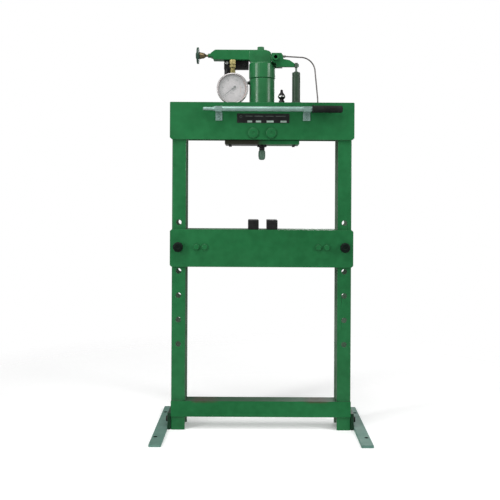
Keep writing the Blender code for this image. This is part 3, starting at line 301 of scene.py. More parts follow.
GREEN = ((0.0140, 0.128, 0.041), (0.0080, 0.092, 0.027), (0.060, 0.125, 0.075))
GREY_GREEN = ((0.036, 0.068, 0.040), (0.022, 0.042, 0.025), (0.08, 0.11, 0.08))
# Painted light: paler, bluer tones for the foot bars, standing in for the bright light on their tops.
LIT_FOOT_TONES = ((0.120, 0.230, 0.190), (0.075, 0.168, 0.135), (0.040, 0.075, 0.062))
# Painted shade: near-black green for the foot brackets, which look dark as if in shade.
SHADED_BRACKET_GREEN = ((0.0060, 0.040, 0.017), (0.0030, 0.021, 0.009), (0.015, 0.05, 0.025))
HANDLED_GREEN = ((0.029, 0.066, 0.047), (0.020, 0.046, 0.033), (0.05, 0.08, 0.06))
PALE_GREEN = ((0.085, 0.150, 0.110), (0.055, 0.105, 0.075), (0.16, 0.19, 0.17))
LOOKS = {
    "green_paint": enamel("green_enamel", GREEN),
    # Foot bars: painted light in their paler tones, and painted shade in their holes.
    "foot_paint": enamel("lit_foot_enamel", LIT_FOOT_TONES, 0.5, grime=0.8, stain=shaded_holes),
    "pump_paint": enamel("grey_green_enamel", GREY_GREEN),
    "black_steel": oxide("blackened_steel", (0.006, 0.006, 0.006), 0.42, 160, 0.12),
    "black_plastic": moulded("moulded_plastic", (0.0020, 0.0050, 0.0035), 0.45, 0.08),
    "bright_steel": metal("ground_steel", (0.30, 0.43, 0.39), (0.18, 0.28, 0.25), 0.55, (40, 700, 700)),
    "pipe_steel": metal("drawn_pipe", (0.20, 0.185, 0.18), (0.10, 0.092, 0.09), 0.40, (90, 600, 90)),
    "brass": metal("dulled_brass", (0.30, 0.26, 0.11), (0.12, 0.11, 0.05), 0.42, (90, 90, 900)),
    "black_rubber": moulded("ribbed_rubber", (0.0045, 0.0065, 0.0055), 0.6, pore=0.1, scale=420),
    "gauge_face": dial_card("dial_card"),
    "glass": clear_glass("gauge_window"),
    "name_plate": oxide("plate_enamel", (0.0055, 0.006, 0.0058), 0.40, 500, 0.02),
}
# Retaining plate: near-black over its left half.
LEFT_DARK_PAINT = enamel("left_dark_enamel", GREEN, stain=darker_left_half)
# Lower cross member: painted shade on its upward faces, and brown patches near its ends.
BROWN_SHADED_PAINT = enamel("brown_shaded_enamel", GREEN, specular=0.08, stain=brown_ends_shaded_top)
GLOSS_PAINT = enamel("gloss_enamel", GREEN, 0.30, 0.40, 0.03)
# Uprights: painted light on the inner faces of their rear flanges.
UPRIGHT_PAINT = enamel("upright_enamel", GREEN, stain=painted_light_inside)
# Foot brackets: painted shade, a dark green enamel.
BRACKET_PAINT = enamel("shaded_bracket_enamel", SHADED_BRACKET_GREEN)
KNOB_PAINT = enamel("handled_enamel", HANDLED_GREEN)
BULB_PAINT = enamel("bulb_enamel", PALE_GREEN)
PLUNGER_STEEL = metal("oily_steel", (0.15, 0.20, 0.16), (0.06, 0.09, 0.07), 0.40, (60, 60, 900))
TURNED_STEEL = metal("turned_steel", (0.60, 0.62, 0.60), (0.33, 0.34, 0.33), 0.28, (60, 60, 1400))
BEZEL_METAL = metal("bezel_metal", (0.52, 0.49, 0.49), (0.33, 0.31, 0.30), 0.38, (200, 200, 200), 0.35)
AGED_BRASS = metal("aged_brass", (0.20, 0.15, 0.085), (0.085, 0.080, 0.045), 0.42, (500, 60, 60), 0.8)
WORN_MARK = moulded("worn_mark", (0.085, 0.100, 0.092), 0.55)
BARE_BOX = moulded("bare_box", (0.17, 0.22, 0.19), 0.55)
PRINT = moulded("printed_ink", (0.018, 0.016, 0.020), 0.5)
OCHRE_PRINT = moulded("ochre_ink", (0.34, 0.12, 0.045), 0.5)


# ---- shapes


def rounded(points, reach, closed=False, steps=4):
    """The outline with its corners turned into curves. A point may carry its own reach."""
    out = []
    count = len(points)
    for i, point in enumerate(points):
        here = Vector(point[:2])
        own = point[2] if len(point) > 2 else reach
        if own <= 0 or (not closed and i in (0, count - 1)):
            out.append(here)
            continue
        before = Vector(points[i - 1][:2]) - here
        after = Vector(points[(i + 1) % count][:2]) - here
        own = min(own, 0.45 * before.length, 0.45 * after.length)
        start = here + before.normalized() * own
        end = here + after.normalized() * own
        for k in range(steps + 1):
            t = k / steps
            out.append((1 - t) ** 2 * start + 2 * t * (1 - t) * here + t * t * end)
    return out


def arc(centre, radius, first, last, steps):
    """Points on a circle, angles in degrees."""
    angles = [math.radians(first + (last - first) * i / steps) for i in range(steps + 1)]
    return [(centre[0] + radius * math.cos(a), centre[1] + radius * math.sin(a)) for a in angles]


def circle(radius, segments=16):
    return arc((0, 0), radius, 0, 360 * (segments - 1) / segments, segments - 1)


def tube(inner, outer, low, high):
    return [(inner, low), (outer, low), (outer, high), (inner, high)]


def above(base, *points):
    """Points whose heights are measured from a base."""
    return [(radius, base + height, *own) for radius, height, *own in points]


def hexagon_reach(angle):
    """How far a hexagon reaches this way, when its flats are at distance 1."""
    return 1 / math.cos((angle + SEXTANT / 2) % SEXTANT - SEXTANT / 2)


def hexagon(apothem, low, high, mirrored=False):
    """Cuts six flats at this distance from the axis between two heights, or also at both ends if mirrored."""

    def shape(angle, radius, height):
        height = abs(height) if mirrored else height
        inside = low - TINY <= height <= high + TINY
        return min(radius, apothem * hexagon_reach(angle)) if inside else radius

    return shape


def recess_flats(limit):
    """Cuts six flats on everything up to this radius: the wall of a key's recess."""
    return lambda angle, radius, _: radius if radius > limit + TINY else 0.87 * radius * hexagon_reach(angle)


def scallops(count, depth, low, high):
    """Finger grooves round a rim between two heights."""

    def shape(angle, radius, height):
        inside = low <= height <= high
        return radius - (depth * max(0.0, math.cos(count * angle)) ** 2 if inside else 0.0)

    return shape


def skin(bm, low, high):
    """Faces between two rings of corners. A ring may be a single corner."""
    count = max(len(low), len(high))
    for k in range(count if count > 1 else 0):
        n = (k + 1) % count
        near = (low[k], low[n]) if len(low) > 1 else low
        far = (high[n], high[k]) if len(high) > 1 else high
        bm.faces.new((*near, *far))


def turned(bm, points, axis="Z", centre=(0, 0, 0), segments=MEDIUM, reach=0.6, closed=False, shape=None):
    """Turns (radius, height) points about an axis through a centre. A closed outline makes a ring."""
    place = Matrix.Translation(centre) @ TURNED_TO[axis]
    rings = []
    for radius, height in rounded(points, reach, closed):
        if radius < TINY:
            rings.append([bm.verts.new(place @ Vector((0, 0, height)))])
            continue
        ring = []
        for k in range(segments):
            angle = 2 * math.pi * k / segments
            r = shape(angle, radius, height) if shape else radius
            ring.append(bm.verts.new(place @ Vector((r * math.cos(angle), r * math.sin(angle), height))))
        rings.append(ring)
    if closed:
        rings.append(rings[0])
    for low, high in zip(rings, rings[1:]):
        skin(bm, low, high)


def sweep(bm, path, section, sizes=None):
    """Carries a closed section, as (side, up) points, along a path with flat ends."""
    path = [Vector(p) for p in path]
    rings = []
    side = None
    for i, point in enumerate(path):
        ahead = (path[min(i + 1, len(path) - 1)] - path[max(i - 1, 0)]).normalized()
        if side is None:
            side = ahead.orthogonal().normalized()
        side = (side - side.dot(ahead) * ahead).normalized()
        up = ahead.cross(side)
        size = sizes[i] if sizes else 1.0
        rings.append([bm.verts.new(point + size * (a * side + b * up)) for a, b in section])
    for low, high in zip(rings, rings[1:]):
        skin(bm, low, high)
    bm.faces.new(rings[0])
    bm.faces.new(list(reversed(rings[-1])))


def box(bm, low, high):
    low, high = Vector(low), Vector(high)
    size = high - low
    for v in bmesh.ops.create_cube(bm, size=1)["verts"]:
        v.co = Vector((v.co[i] * size[i] for i in range(3))) + (low + high) / 2


def extrude_outline(bm, outline, axis, low, high):
    """A flat outline in the two other axes, in X, Y, Z order, carried from low to high."""
    spot = "XYZ".index(axis)

    def place(a, b, along):
        point = [a, b]
        point.insert(spot, along)
        return bm.verts.new(point)

    first = [place(a, b, low) for a, b in outline]
    last = [place(a, b, high) for a, b in outline]
    bm.faces.new(first)
    bm.faces.new(list(reversed(last)))
    skin(bm, last, first)


# ---- pieces


def corners(node):
    """The node's lowest and highest corner, in millimetres."""
    low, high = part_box(node)
    return low / MM, high / MM


def middle_of(node):
    low, high = corners(node)
    return (low + high) / 2


def axis_through(node, axis="Z"):
    """The node's middle, but with 0 along the axis, so that heights are the frame's own."""
    return [0 if letter == axis else part for letter, part in zip("XYZ", middle_of(node))]


def body_of(node):
    bodies = frame["record"]["behaviour"]["bodies"]
    return next(name for name, nodes in bodies.items() if node in nodes)


def slot_of(node):
    return next(s["material_slot"] for s in frame["record"]["subparts"] if s["node"] == node)


def put(name, data):
    """A new object in the scene."""
    made = bpy.data.objects.new(name, data)
    bpy.context.scene.collection.objects.link(made)
    return made


def mesh_of(name, bm, material):
    mesh = bpy.data.meshes.new(name)
    bm.to_mesh(mesh)
    bm.free()
    mesh.materials.append(material)
    return mesh


def make(name, bm, slot, body="frame", replaces=(), material=None, sharp=SMOOTH_ANGLE):
    """A finished piece that rides on a body. Its millimetres become metres here."""
    bmesh.ops.recalc_face_normals(bm, faces=bm.faces)
    bmesh.ops.scale(bm, vec=(MM, MM, MM), verts=bm.verts)
    mesh = mesh_of(name, bm, material or LOOKS[slot])
    mesh.shade_smooth()
    mesh.set_sharp_from_angle(angle=sharp)
    made = put(name, mesh)
    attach(made, body)
    if replaces:
        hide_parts(*replaces)
    return made


def turned_piece(name, slot, points, *centres, body="frame", replaces=(), material=None, **turning):
    """A piece with one turned shape at each centre, and with the other arguments of turned()."""
    bm = bmesh.new()
    for centre in centres:
        turned(bm, points, centre=centre, **turning)
    make(name, bm, slot, body, replaces, material)


def stand_in(name, node, points, axis="Z", centre=None, **options):
    """A finely turned piece in place of a CAD node, on the same body and slot."""
    centre = centre or axis_through(node, axis)
    options.update(body=body_of(node), replaces=(node,), axis=axis)
    turned_piece(name, slot_of(node), points, centre, **options)


def soften(made, width, segments=3, angle=30):
    """Rounds the piece's edges."""
    edges = made.modifiers.new("rounded edges", "BEVEL")
    edges.width = width * MM
    edges.segments = segments
    edges.limit_method = "ANGLE"
    edges.angle_limit = math.radians(angle)
    edges.harden_normals = True


# ---- kept CAD nodes


def smoother():
    """A modifier group: merge the split corners, drop stored normals, shade smooth by angle."""
    tree = bpy.data.node_groups.new("smooth by angle", "GeometryNodeTree")
    for way in ("INPUT", "OUTPUT"):
        tree.interface.new_socket("Geometry", in_out=way, socket_type="NodeSocketGeometry")
    nodes, links = tree.nodes, tree.links
    chain = [nodes.new(kind) for kind in (
        "NodeGroupInput", "GeometryNodeMergeByDistance", "GeometryNodeRemoveAttribute",
        "GeometryNodeSetShadeSmooth", "GeometryNodeSetShadeSmooth", "NodeGroupOutput"
    )]
    _, merge, drop, faces, edges, _ = chain
    merge.inputs["Distance"].default_value = WELD_REACH
    drop.inputs["Name"].default_value = "custom_normal"
    faces.domain = "FACE"
    edges.domain = "EDGE"
    edges.inputs["Shade Smooth"].default_value = False
    angle = nodes.new("GeometryNodeInputMeshEdgeAngle")
    steep = nodes.new("FunctionNodeCompare")
    steep.operation = "GREATER_THAN"
    steep.inputs["B"].default_value = SMOOTH_ANGLE
    links.new(angle.outputs["Unsigned Angle"], steep.inputs["A"])
    links.new(steep.outputs["Result"], edges.inputs["Selection"])
    for a, b in zip(chain, chain[1:]):
        links.new(a.outputs["Geometry"], b.inputs["Geometry"])
    return tree


SMOOTHER = smoother()


def paint(node, material=None):
    kept = frame["nodes"][node]
    for slot in kept.material_slots:
        slot.material = material or LOOKS[slot_of(node)]
    return kept


def dress(node, width, segments=3, material=None):
    """Keeps a CAD node, with rounded edges and a finished material."""
    kept = paint(node, material)
    kept.modifiers.new("smooth by angle", "NODES").node_group = SMOOTHER
    soften(kept, width, segments)


def cast(node, voxel, passes, material=None):
    """Keeps a CAD node as a casting: all edges run soft into each other."""
    kept = paint(node, material)
    weld = kept.modifiers.new("merge corners", "WELD")
    weld.merge_threshold = WELD_REACH
    remesh = kept.modifiers.new("even skin", "REMESH")
    remesh.mode = "VOXEL"
    remesh.voxel_size = voxel * MM
    remesh.use_smooth_shade = True
    smooth = kept.modifiers.new("foundry smooth", "SMOOTH")
    smooth.factor = 0.5
    smooth.iterations = passes


def kept_nodes():
    for side, _ in SIDES:
        dress(f"{side}_upright", 0.9, material=UPRIGHT_PAINT)
        dress(f"{side}_foot_bar", 1.3)
        dress(f"{side}_foot_bracket", 1.2, material=BRACKET_PAINT)
        dress(f"bolster_{side}_spacer", 0.8)
        dress(f"{side}_press_block", 0.7)
    for face, _ in FACES:
        dress(f"crown_{face}_plate", 1.1)
        dress(f"bolster_{face}_channel", 1.2)
    for node in ("crown_top_plate", "cylinder_seat_block", "relief_valve_block"):
        dress(node, 0.8)
    dress("lower_cross_member", 1.2, material=BROWN_SHADED_PAINT)
    dress("ram_retaining_plate", 1.2, material=LEFT_DARK_PAINT)
    dress("pump_plunger", 0.3, 2, PLUNGER_STEEL)
    dress("cylinder_gland", 0.4, 2)
    cast("head_casting", 1.0, 5, GLOSS_PAINT)
    cast("manifold_arm", 1.0, 4)
    cast("pump_rocker", 0.8, 3)


# ---- hydraulics


def cylinder():
    """The reservoir's shell and the honed barrel inside it."""
    wall = 3
    low, high = corners("reservoir_tube")
    shell = tube(high.x - wall, high.x, low.z, high.z)
    stand_in("reservoir_shell", "reservoir_tube", shell, segments=FINE, closed=True, material=GLOSS_PAINT)
    low, high = corners("cylinder_barrel")
    barrel = tube(corners("piston")[1].x + GAP, high.x, low.z, high.z)
    stand_in("honed_barrel", "cylinder_barrel", barrel, segments=FINE, closed=True, material=TURNED_STEEL)


def ram():
    """The ground rod with its socket, and the piston with a seal in its groove."""
    low, high = corners("ram_rod")
    piston_low, piston_high = corners("piston")
    neck, socket = 10, 7.3
    socket_end = low.z + 18
    shoulder = piston_low.z - GAP
    stand_in("ground_rod", "ram_rod", [
        (0, socket_end), (socket, socket_end), (socket, low.z), (high.x, low.z, 1.2),
        (high.x, shoulder), (neck, shoulder), (neck, high.z), (0, high.z)
    ], segments=FINE, material=TURNED_STEEL)
    outer, bore = piston_high.x, neck + GAP
    groove = outer - 1.6
    lip = outer - 0.1
    seal_low, seal_high = piston_low.z + 11, piston_low.z + 18
    stand_in("grooved_piston", "piston", [
        (bore, piston_low.z), (outer, piston_low.z), (outer, seal_low), (groove, seal_low),
        (groove, seal_high), (outer, seal_high), (outer, piston_high.z), (bore, piston_high.z)
    ], segments=FINE, closed=True, reach=0.4, material=TURNED_STEEL)
    turned_piece("piston_seal", "black_rubber", [
        (groove, seal_low + GAP), (lip, seal_low + GAP, 1.5), (lip, seal_high - GAP, 1.5),
        (groove, seal_high - GAP)
    ], RAM_AXIS, body="ram", segments=FINE, closed=True, reach=0.3)


def press_nose():
    """A rounded bulb under a black neck that goes up into the rod, and a sleeve on the rod's end."""
    low, high = corners("press_nose")
    rod_low, rod_high = corners("ram_rod")
    end, rod = rod_low.z, rod_high.x
    bulb = high.x
    neck = 0.77 * bulb
    shoulder = end - 14
    height = shoulder - low.z
    spigot = 7
    stand_in("nose_bulb", "press_nose", [
        (0, low.z), (0.55 * bulb, low.z, 3), (0.86 * bulb, low.z + 0.12 * height, 3),
        (bulb, low.z + 0.42 * height, 5), (0.97 * bulb, low.z + 0.82 * height, 4),
        (0.86 * bulb, shoulder, 2), (neck - 2, shoulder + 1), (0, shoulder + 1)
    ], material=BULB_PAINT)
    turned_piece("nose_neck", "black_steel", above(
        end, (0, -14), (neck - 1, -14), (neck, -12), (neck, -2), (neck - 1, -GAP), (spigot, -GAP),
        (spigot, 17), (0, 17)
    ), RAM_AXIS, body="ram", reach=0.8)
    turned_piece("rod_end_sleeve", "black_steel", above(
        end, (neck - 2, -0.8), (rod + 0.4, -0.8), (rod + 0.4, 7), (rod + 0.05, 7), (rod + 0.05, -0.1),
        (neck - 2, -0.1)
    ), RAM_AXIS, body="ram", closed=True, reach=0.2)


def spring():
    """The return spring, with closed ends."""
    wire, turns, steps = 2, 9, 40
    closed, rising, creep = 0.08, 0.84, 0.05  # shares of the length
    low = corners("cylinder_gland")[1].z + GAP
    high = corners("piston")[0].z - GAP
    mean = corners("return_spring")[1].x - wire
    path = []
    for i in range(turns * steps + 1):
        share = i / (turns * steps)
        angle = 2 * math.pi * turns * share
        climb = min(max((share - closed) / rising, 0), 1)
        rise = low + wire + (high - low - 2 * wire) * (creep * share + (1 - creep) * climb)
        path.append((mean * math.cos(angle), mean * math.sin(angle), rise))
    bm = bmesh.new()
    sweep(bm, path, circle(wire, 12))
    coil = make("coil_spring", bm, "black_steel", replaces=("return_spring",))
    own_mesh(coil)


def filler_plug():
    low, high = corners("filler_plug")
    seat = corners("head_casting")[1].z + GAP
    rim = (high.x - low.x) / 2
    washer, stem, apothem = 3, 8, rim - 2.2
    stand_in("hex_filler_plug", "filler_plug", [
        (0, high.z), (apothem - 1, high.z), (rim - 0.6, high.z - 2), (rim - 0.6, seat + washer),
        (rim, seat + washer), (rim, seat), (stem, seat), (stem, low.z), (0, low.z)
    ], shape=hexagon(apothem, seat + washer + 0.01, high.z), reach=0.5)


def seat_bolts():
    """Low button heads, with a shallow hexagon recess that the paint has half filled."""
    seat = corners("crown_front_plate")[0].y - GAP
    socket, shank = 5.5, 8
    for side, _ in SIDES:
        node = f"seat_bolt_{side}"
        low, high = corners(node)
        head = (high.x - low.x) / 2
        profile = above(
            low.y, (0, 2.2), (socket, 2.2, 0), (socket, 0.6, 0.5), (head - 9, 0.4, 2), (head - 2.5, 1.5, 3),
            (head, 4, 2)
        ) + [(head, seat), (shank, seat), (shank, high.y), (0, high.y)]
        stand_in(f"{node}_button_head", node, profile, "Y", shape=recess_flats(socket))


def release_valve():
    """A scalloped hand disk on a tarnished brass cone, a gland nut and a stem into the arm."""
    low, high = corners("release_valve")
    disk = (high.z - low.z) / 2
    left = low.x
    hub, stem, bore, rim = 15, 4.2, 4.5, 8.2
    stand_in("release_knob", "release_valve", above(
        left, (0, 1.5), (6, 1, 1), (10, 0, 1.2), (12, 2, 1), (hub, 6.5, 3), (disk - 5, 3.5, 2),
        (disk, 4, 1.6), (disk, 12, 1.6), (disk - 5, 12.5, 2), (hub, 12.5, 3), (13, 15, 1), (0, 15)
    ), "X", shape=scallops(18, 0.8, left + 3.6, left + 12.4), segments=FINE + 24, material=KNOB_PAINT)
    on_stem = axis_through("release_valve", "X")
    turned_piece("release_cone", "brass", above(
        left, (0, 14), (12.5, 14), (12.5, 17), (11.5, 21, 3), (10, 30, 2), (7, 34.5, 2), (stem, 38)
    ) + [(stem, high.x - 3.5), (0, high.x)], on_stem, body="release_valve", axis="X", reach=0.8,
        material=AGED_BRASS)
    arm = corners("manifold_arm")[0].x
    turned_piece("valve_gland_nut", "green_paint", above(
        arm, (bore, -10), (6.8, -10), (rim, -8.5), (rim, -1), (7.6, 1), (bore, 1)
    ), on_stem, axis="X", reach=0.4, closed=True, shape=hexagon(7.4, arm - 9, arm))


def relief_plugs():
    """Screw plugs in the relief valve's block: one bright, one black, and an adjuster under its boss."""
    low, high = corners("relief_valve_block")
    for name, slot, material, x, z in (
        ("relief_bright_plug", "bright_steel", TURNED_STEEL, low.x + 11, high.z - 9),
        ("relief_black_plug", "black_steel", None, high.x - 14, high.z - 15),
    ):
        turned_piece(name, slot, above(
            low.y, (0, -2.2), (2.52, -2.2, 0), (2.52, -4.4, 0.2), (5.2, -4.4), (6, -3.2), (6, 1), (0, 1)
        ), (x, 0, z), material=material, axis="Y", segments=SMALL, reach=0.4)
    turned_piece("relief_adjuster", "black_steel", above(
        low.z, (0, -7), (6, -7), (7, -6), (7, -1), (9, -1), (9, 1), (0, 1)
    ), (low.x + 12, (low.y + high.y) / 2, 0), segments=SMALL, reach=0.4,
        shape=hexagon(6, low.z - 7, low.z - 1.1))


# ---- gauge


def gauge():
    low, high = corners("gauge_case")
    centre = (low + high) / 2
    centre.y = 0
    case, back = (high.x - low.x) / 2, high.y
    glass_low, glass_high = corners("gauge_glass")
    dial_low, dial_high = corners("gauge_dial")
    inner = (dial_high.x - dial_low.x) / 2 + GAP
    lip, sheet = case - 6, inner - 0.6
    housing = above(back, (0, -3), (inner, -3)) + above(
        low.y, (inner, 3.5), (lip, 3.5), (lip, 1.2), (lip + 1.2, 0), (case - 2.2, 0, 2), (case, 2.2, 2),
        (case, 6.5, 1), (case - 1.4, 8), (case - 1.4, 10), (case - 0.8, 11)
    ) + above(back, (case - 1, -4, 4), (case - 5, 0, 2), (0, 0))
    stand_in("gauge_housing", "gauge_case", housing, "Y", centre, segments=FINE, material=BEZEL_METAL)
    stand_in("dial_sheet", "gauge_dial", tube(2, sheet, dial_low.y, dial_high.y),
             "Y", centre, segments=FINE, reach=0.1, closed=True)
    stand_in("gauge_lens", "gauge_glass", tube(0, sheet, glass_low.y, glass_high.y),
             "Y", centre, segments=FINE, reach=0.2)
    dial_print(centre, dial_low.y, inner)
    needle(centre, dial_low.y - 6)
    gauge_stem()
    screw = above(back, (0, -1), (4.5, -1), (4.5, 0.8), (2.4, 2.4), (0, 2.4))
    spots = [(x, 0, z) for x, z in arc((centre.x, centre.z), case - 14, 90, 330, 2)]
    turned_piece("gauge_back_screws", "bright_steel", screw, *spots, axis="Y", segments=SMALL,
                 reach=0.8, material=TURNED_STEEL)


def dial_print(centre, sheet, inner):
    """Scale arc, ticks and plain numbers over 270 degrees, and a coloured high range."""
    hub = (centre.x, centre.z)
    thick, start, turn, marks, numbers = 0.12, 225, 270, 50, 5
    rim = inner - 7

    def stroke(bm, angle, near, far, width):
        along = Vector((math.cos(angle), math.sin(angle)))
        across = Vector((-along.y, along.x)) * width / 2
        ends = [along * near - across, along * far - across, along * far + across, along * near + across]
        outline = [Vector(hub) + end for end in ends]
        extrude_outline(bm, outline, "Y", sheet - thick, sheet + thick)

    def band(bm, first, last, near, far):
        steps = max(6, round(abs(last - first) / 3))
        outline = arc(hub, far, first, last, steps) + arc(hub, near, last, first, steps)
        extrude_outline(bm, outline, "Y", sheet - thick, sheet + thick)

    ink = bmesh.new()
    band(ink, start, start - turn, rim - 0.3, rim + 0.3)
    for i in range(marks + 1):
        length, width = (2.8, 0.35) if i % 5 else (5.5, 0.75)
        stroke(ink, math.radians(start - turn * i / marks), rim - length, rim, width)
    for i, (x, z) in enumerate(arc(hub, rim - 11, start, start - turn, numbers)):
        numeral(ink, str(20 * i), x, z, sheet - thick, 6.4)
    box(ink, (centre.x - 7, sheet - thick, centre.z - 17.4), (centre.x + 7, sheet + thick, centre.z - 16.6))
    make("dial_scale", ink, "gauge_face", material=PRINT)
    warm = bmesh.new()
    band(warm, 36, -45, rim + 0.9, rim + 2.2)
    band(warm, 24, -26, 29.5, 30.3)
    make("dial_high_range", warm, "gauge_face", material=OCHRE_PRINT)


def numeral(bm, text, x, z, sheet, size):
    """A number laid on the dial, read from the front."""
    curve = bpy.data.curves.new("numeral", "FONT")
    curve.body = text
    curve.size = size
    curve.align_x = "CENTER"
    curve.align_y = "CENTER"
    curve.extrude = 0.06
    holder = put("numeral", curve)
    mesh = bpy.data.meshes.new_from_object(holder.evaluated_get(bpy.context.evaluated_depsgraph_get()))
    mesh.transform(Matrix.Translation((x, sheet, z)) @ Matrix.Rotation(math.pi / 2, 4, "X"))
    bm.from_mesh(mesh)
    bpy.data.objects.remove(holder)
    bpy.data.meshes.remove(mesh)
    bpy.data.curves.remove(curve)


def needle(centre, front):
    """A tapered pointer with a round counterweight, on a dark hub."""
    hub = Vector((centre.x, centre.z))
    low = corners("gauge_needle")[0]
    tip = Vector((low.x, low.z)) - hub
    length, tail = tip.length * 0.985, 10
    along = tip.normalized()
    across = Vector((-along.y, along.x))
    edge = [(length, 0), (length - 3, 0.9), (6, 1.5), (-tail, 1.7)]
    edge += [(reach, -half) for reach, half in reversed(edge[1:])]
    bm = bmesh.new()
    outline = [hub + along * reach + across * half for reach, half in edge]
    extrude_outline(bm, outline, "Y", front, front + 0.8)
    weight = hub - along * tail
    turned(bm, tube(0, 5, front - 0.4, front + 1.2), "Y", (weight.x, 0, weight.y), SMALL, 0.3)
    soften(make("pointer", bm, "black_steel", "gauge_needle", ("gauge_needle",)), 0.12, 2)
    turned_piece("pointer_hub", "black_steel", above(
        front, (0, -1.6), (2.6, -1.6), (3.6, -0.6), (3.6, 2), (1.4, 2), (1.4, 9), (0, 9)
    ), centre, body="gauge_needle", axis="Y", segments=SMALL, reach=0.3)


def gauge_stem():
    """Two brass hexagons with a groove between them, over a round neck."""
    low, high = corners("gauge_stem")
    nut = high.z - 29
    rim, neck = 12.5, 9
    stand_in("brass_union", "gauge_stem", above(
        nut, (0, 29), (10.8, 29, 0.5), (rim, 27.4), (rim, 13), (9.6, 12), (9.6, 10), (rim, 9), (rim, 1.6),
        (10.8, 0), (neck, -1), (neck, -6), (neck + 1, -8)
    ) + [(neck + 1, low.z), (0, low.z)], shape=hexagon(11, nut - 0.5, high.z), reach=0.5)


# ---- pump and pipe


def pump():
    """The barrel on its hexagon foot, the plunger's wiper and the rocker's pivot bolt."""
    low, high = corners("pump_barrel")
    centre = axis_through("pump_barrel")
    rim, body, bore = high.x - centre[0], 14.7, 3.8
    waist = body - 0.7
    foot, top = low.z, high.z
    profile = above(foot, (0, 15), (bore, 15)) + above(
        top, (bore, 0), (body - 4, 0), (body - 1.6, 0, 0.5), (body, -1.8), (body, -12), (waist, -12.7),
        (waist, -14.3), (body, -15)
    ) + above(foot, (body, 9.5, 1.5), (rim, 8.5, 1.2), (rim, 0), (0, 0))
    stand_in("pump_body", "pump_barrel", profile, shape=hexagon(rim * 0.9, foot, foot + 8.4))
    wiper = above(top, (bore, GAP), (8, GAP), (7, 3), (bore, 3))
    turned_piece("plunger_wiper", "black_rubber", wiper, centre, segments=SMALL, reach=0.4, closed=True)
    low, high = corners("rocker_shaft")
    shaft, rim, head = 6, 10.2, high.x - 4
    stand_in("pivot_bolt", "rocker_shaft", [
        (0, low.x), (shaft - 1, low.x), (shaft, low.x + 1), (shaft, head), (rim, head), (rim, high.x - 1),
        (8, high.x), (0, high.x)
    ], "X", reach=0.4, shape=hexagon(9, head - 0.1, high.x), material=TURNED_STEEL)


def arm_joint():
    """The joint between the arm and the head, filled level with paint."""
    low, high = corners("manifold_arm")
    depth, reach = 0.35, 3.2
    bm = bmesh.new()
    box(bm, (high.x - reach, low.y + depth, low.z + depth), (high.x + reach, high.y - depth, high.z - depth))
    soften(make("arm_joint_fill", bm, "green_paint"), 0.3, 2)


def oil_pipe():
    """Drawn tube with a short level run, one wide bend and flare nuts at both ends."""
    low, high = corners("oil_pipe")
    y = (low.y + high.y) / 2
    bore, nut, bend, length = 2.5, 4.5, 54, 11
    start, level = low.x, high.z - nut
    end, foot = high.x - nut, low.z
    line = [(start + 6, level), (start + 14, level - 0.3)]
    line += arc((end - 10.5 - bend, level - 3 - bend), bend, 90, 7, 40)
    line += [(end, foot + 24), (end, foot + 4)]
    bm = bmesh.new()
    sweep(bm, [(x, y, z) for x, z in rounded(line, 8, steps=3)], circle(bore, 20))
    make("bent_tube", bm, "pipe_steel", replaces=("oil_pipe",))
    profile = [
        (0, 0), (nut - 0.6, 0), (nut + 0.5, 1), (nut + 0.5, length - 3), (3.9, length - 2), (3.6, length),
        (bore, length + 0.5), (0, length + 0.5)
    ]
    flats = hexagon(nut - 0.2, -1, length - 2.9)
    bm = bmesh.new()
    turned(bm, profile, "X", (start, y, level), reach=0.4, shape=flats)
    turned(bm, profile, "Z", (end, y, foot), reach=0.4, shape=flats)
    make("flare_nuts", bm, "pipe_steel")


def breather():
    """A hexagon foot, a dark knob with a bright band round its waist, and a small tip."""
    low, high = corners("breather_cap")
    foot, nut = low.z, 15
    profile = above(
        foot, (0, 0), (11.6, 0), (11.6, nut), (9.5, 16.5), (7.5, 18), (7.5, 21), (12, 26, 2), (13.4, 30, 2),
        (12.6, 36, 3), (9, 42, 3), (5.5, 46, 2), (4.6, 51, 1), (5.2, 53, 1)
    ) + [(3, high.z, 1.5), (0, high.z)]
    stand_in("breather_body", "breather_cap", profile, shape=hexagon(10.3, foot, foot + nut + 0.1))
    band = above(foot, (11, 28), (14, 28.5, 1.5), (14.2, 33.5, 1.5), (11, 35))
    turned_piece("breather_band", "bright_steel", band, axis_through("breather_cap"), reach=0.5,
                 closed=True, material=TURNED_STEEL)


# ---- handle, hooks, plate


def handle():
    """A tube with a thinner tip, a ribbed grip over its end and two hooks that hold it."""
    low, high = corners("pump_handle_bar")
    tip, radius = 6.25, (high.z - low.z) / 2
    stand_in("handle_tube", "pump_handle_bar", [
        (0, low.x), (tip - 1.5, low.x), (tip, low.x + 1.5), (tip, low.x + 34, 3), (radius, low.x + 40, 3),
        (radius, high.x), (0, high.x)
    ], "X")
    low, high = corners("pump_handle_grip")
    grip, flange, bore = 13, (high.z - low.z) / 2, radius + GAP
    valley = grip - 0.9
    rib, first, last = 5.2, low.x + 9, high.x - 12
    profile = [(bore, low.x), (flange, low.x, 1.4), (flange, low.x + 4, 1.4), (valley, low.x + 6.5)]
    for i in range(int((last - first) / rib)):
        x = first + i * rib
        profile += [(valley, x), (grip, x + 0.7), (grip, x + rib - 1.9), (valley, x + rib - 1.2)]
    profile += [(grip, last + 1), (grip, high.x - 4, 3), (grip - 4, high.x, 3), (0, high.x)]
    profile += [(0, high.x - 2.6), (bore, high.x - 2.6)]
    stand_in("ribbed_grip", "pump_handle_grip", profile, "X", reach=0.5)
    centre = middle_of("pump_handle_grip")
    for side, _ in SIDES:
        hook(side, centre.y, centre.z, bore)


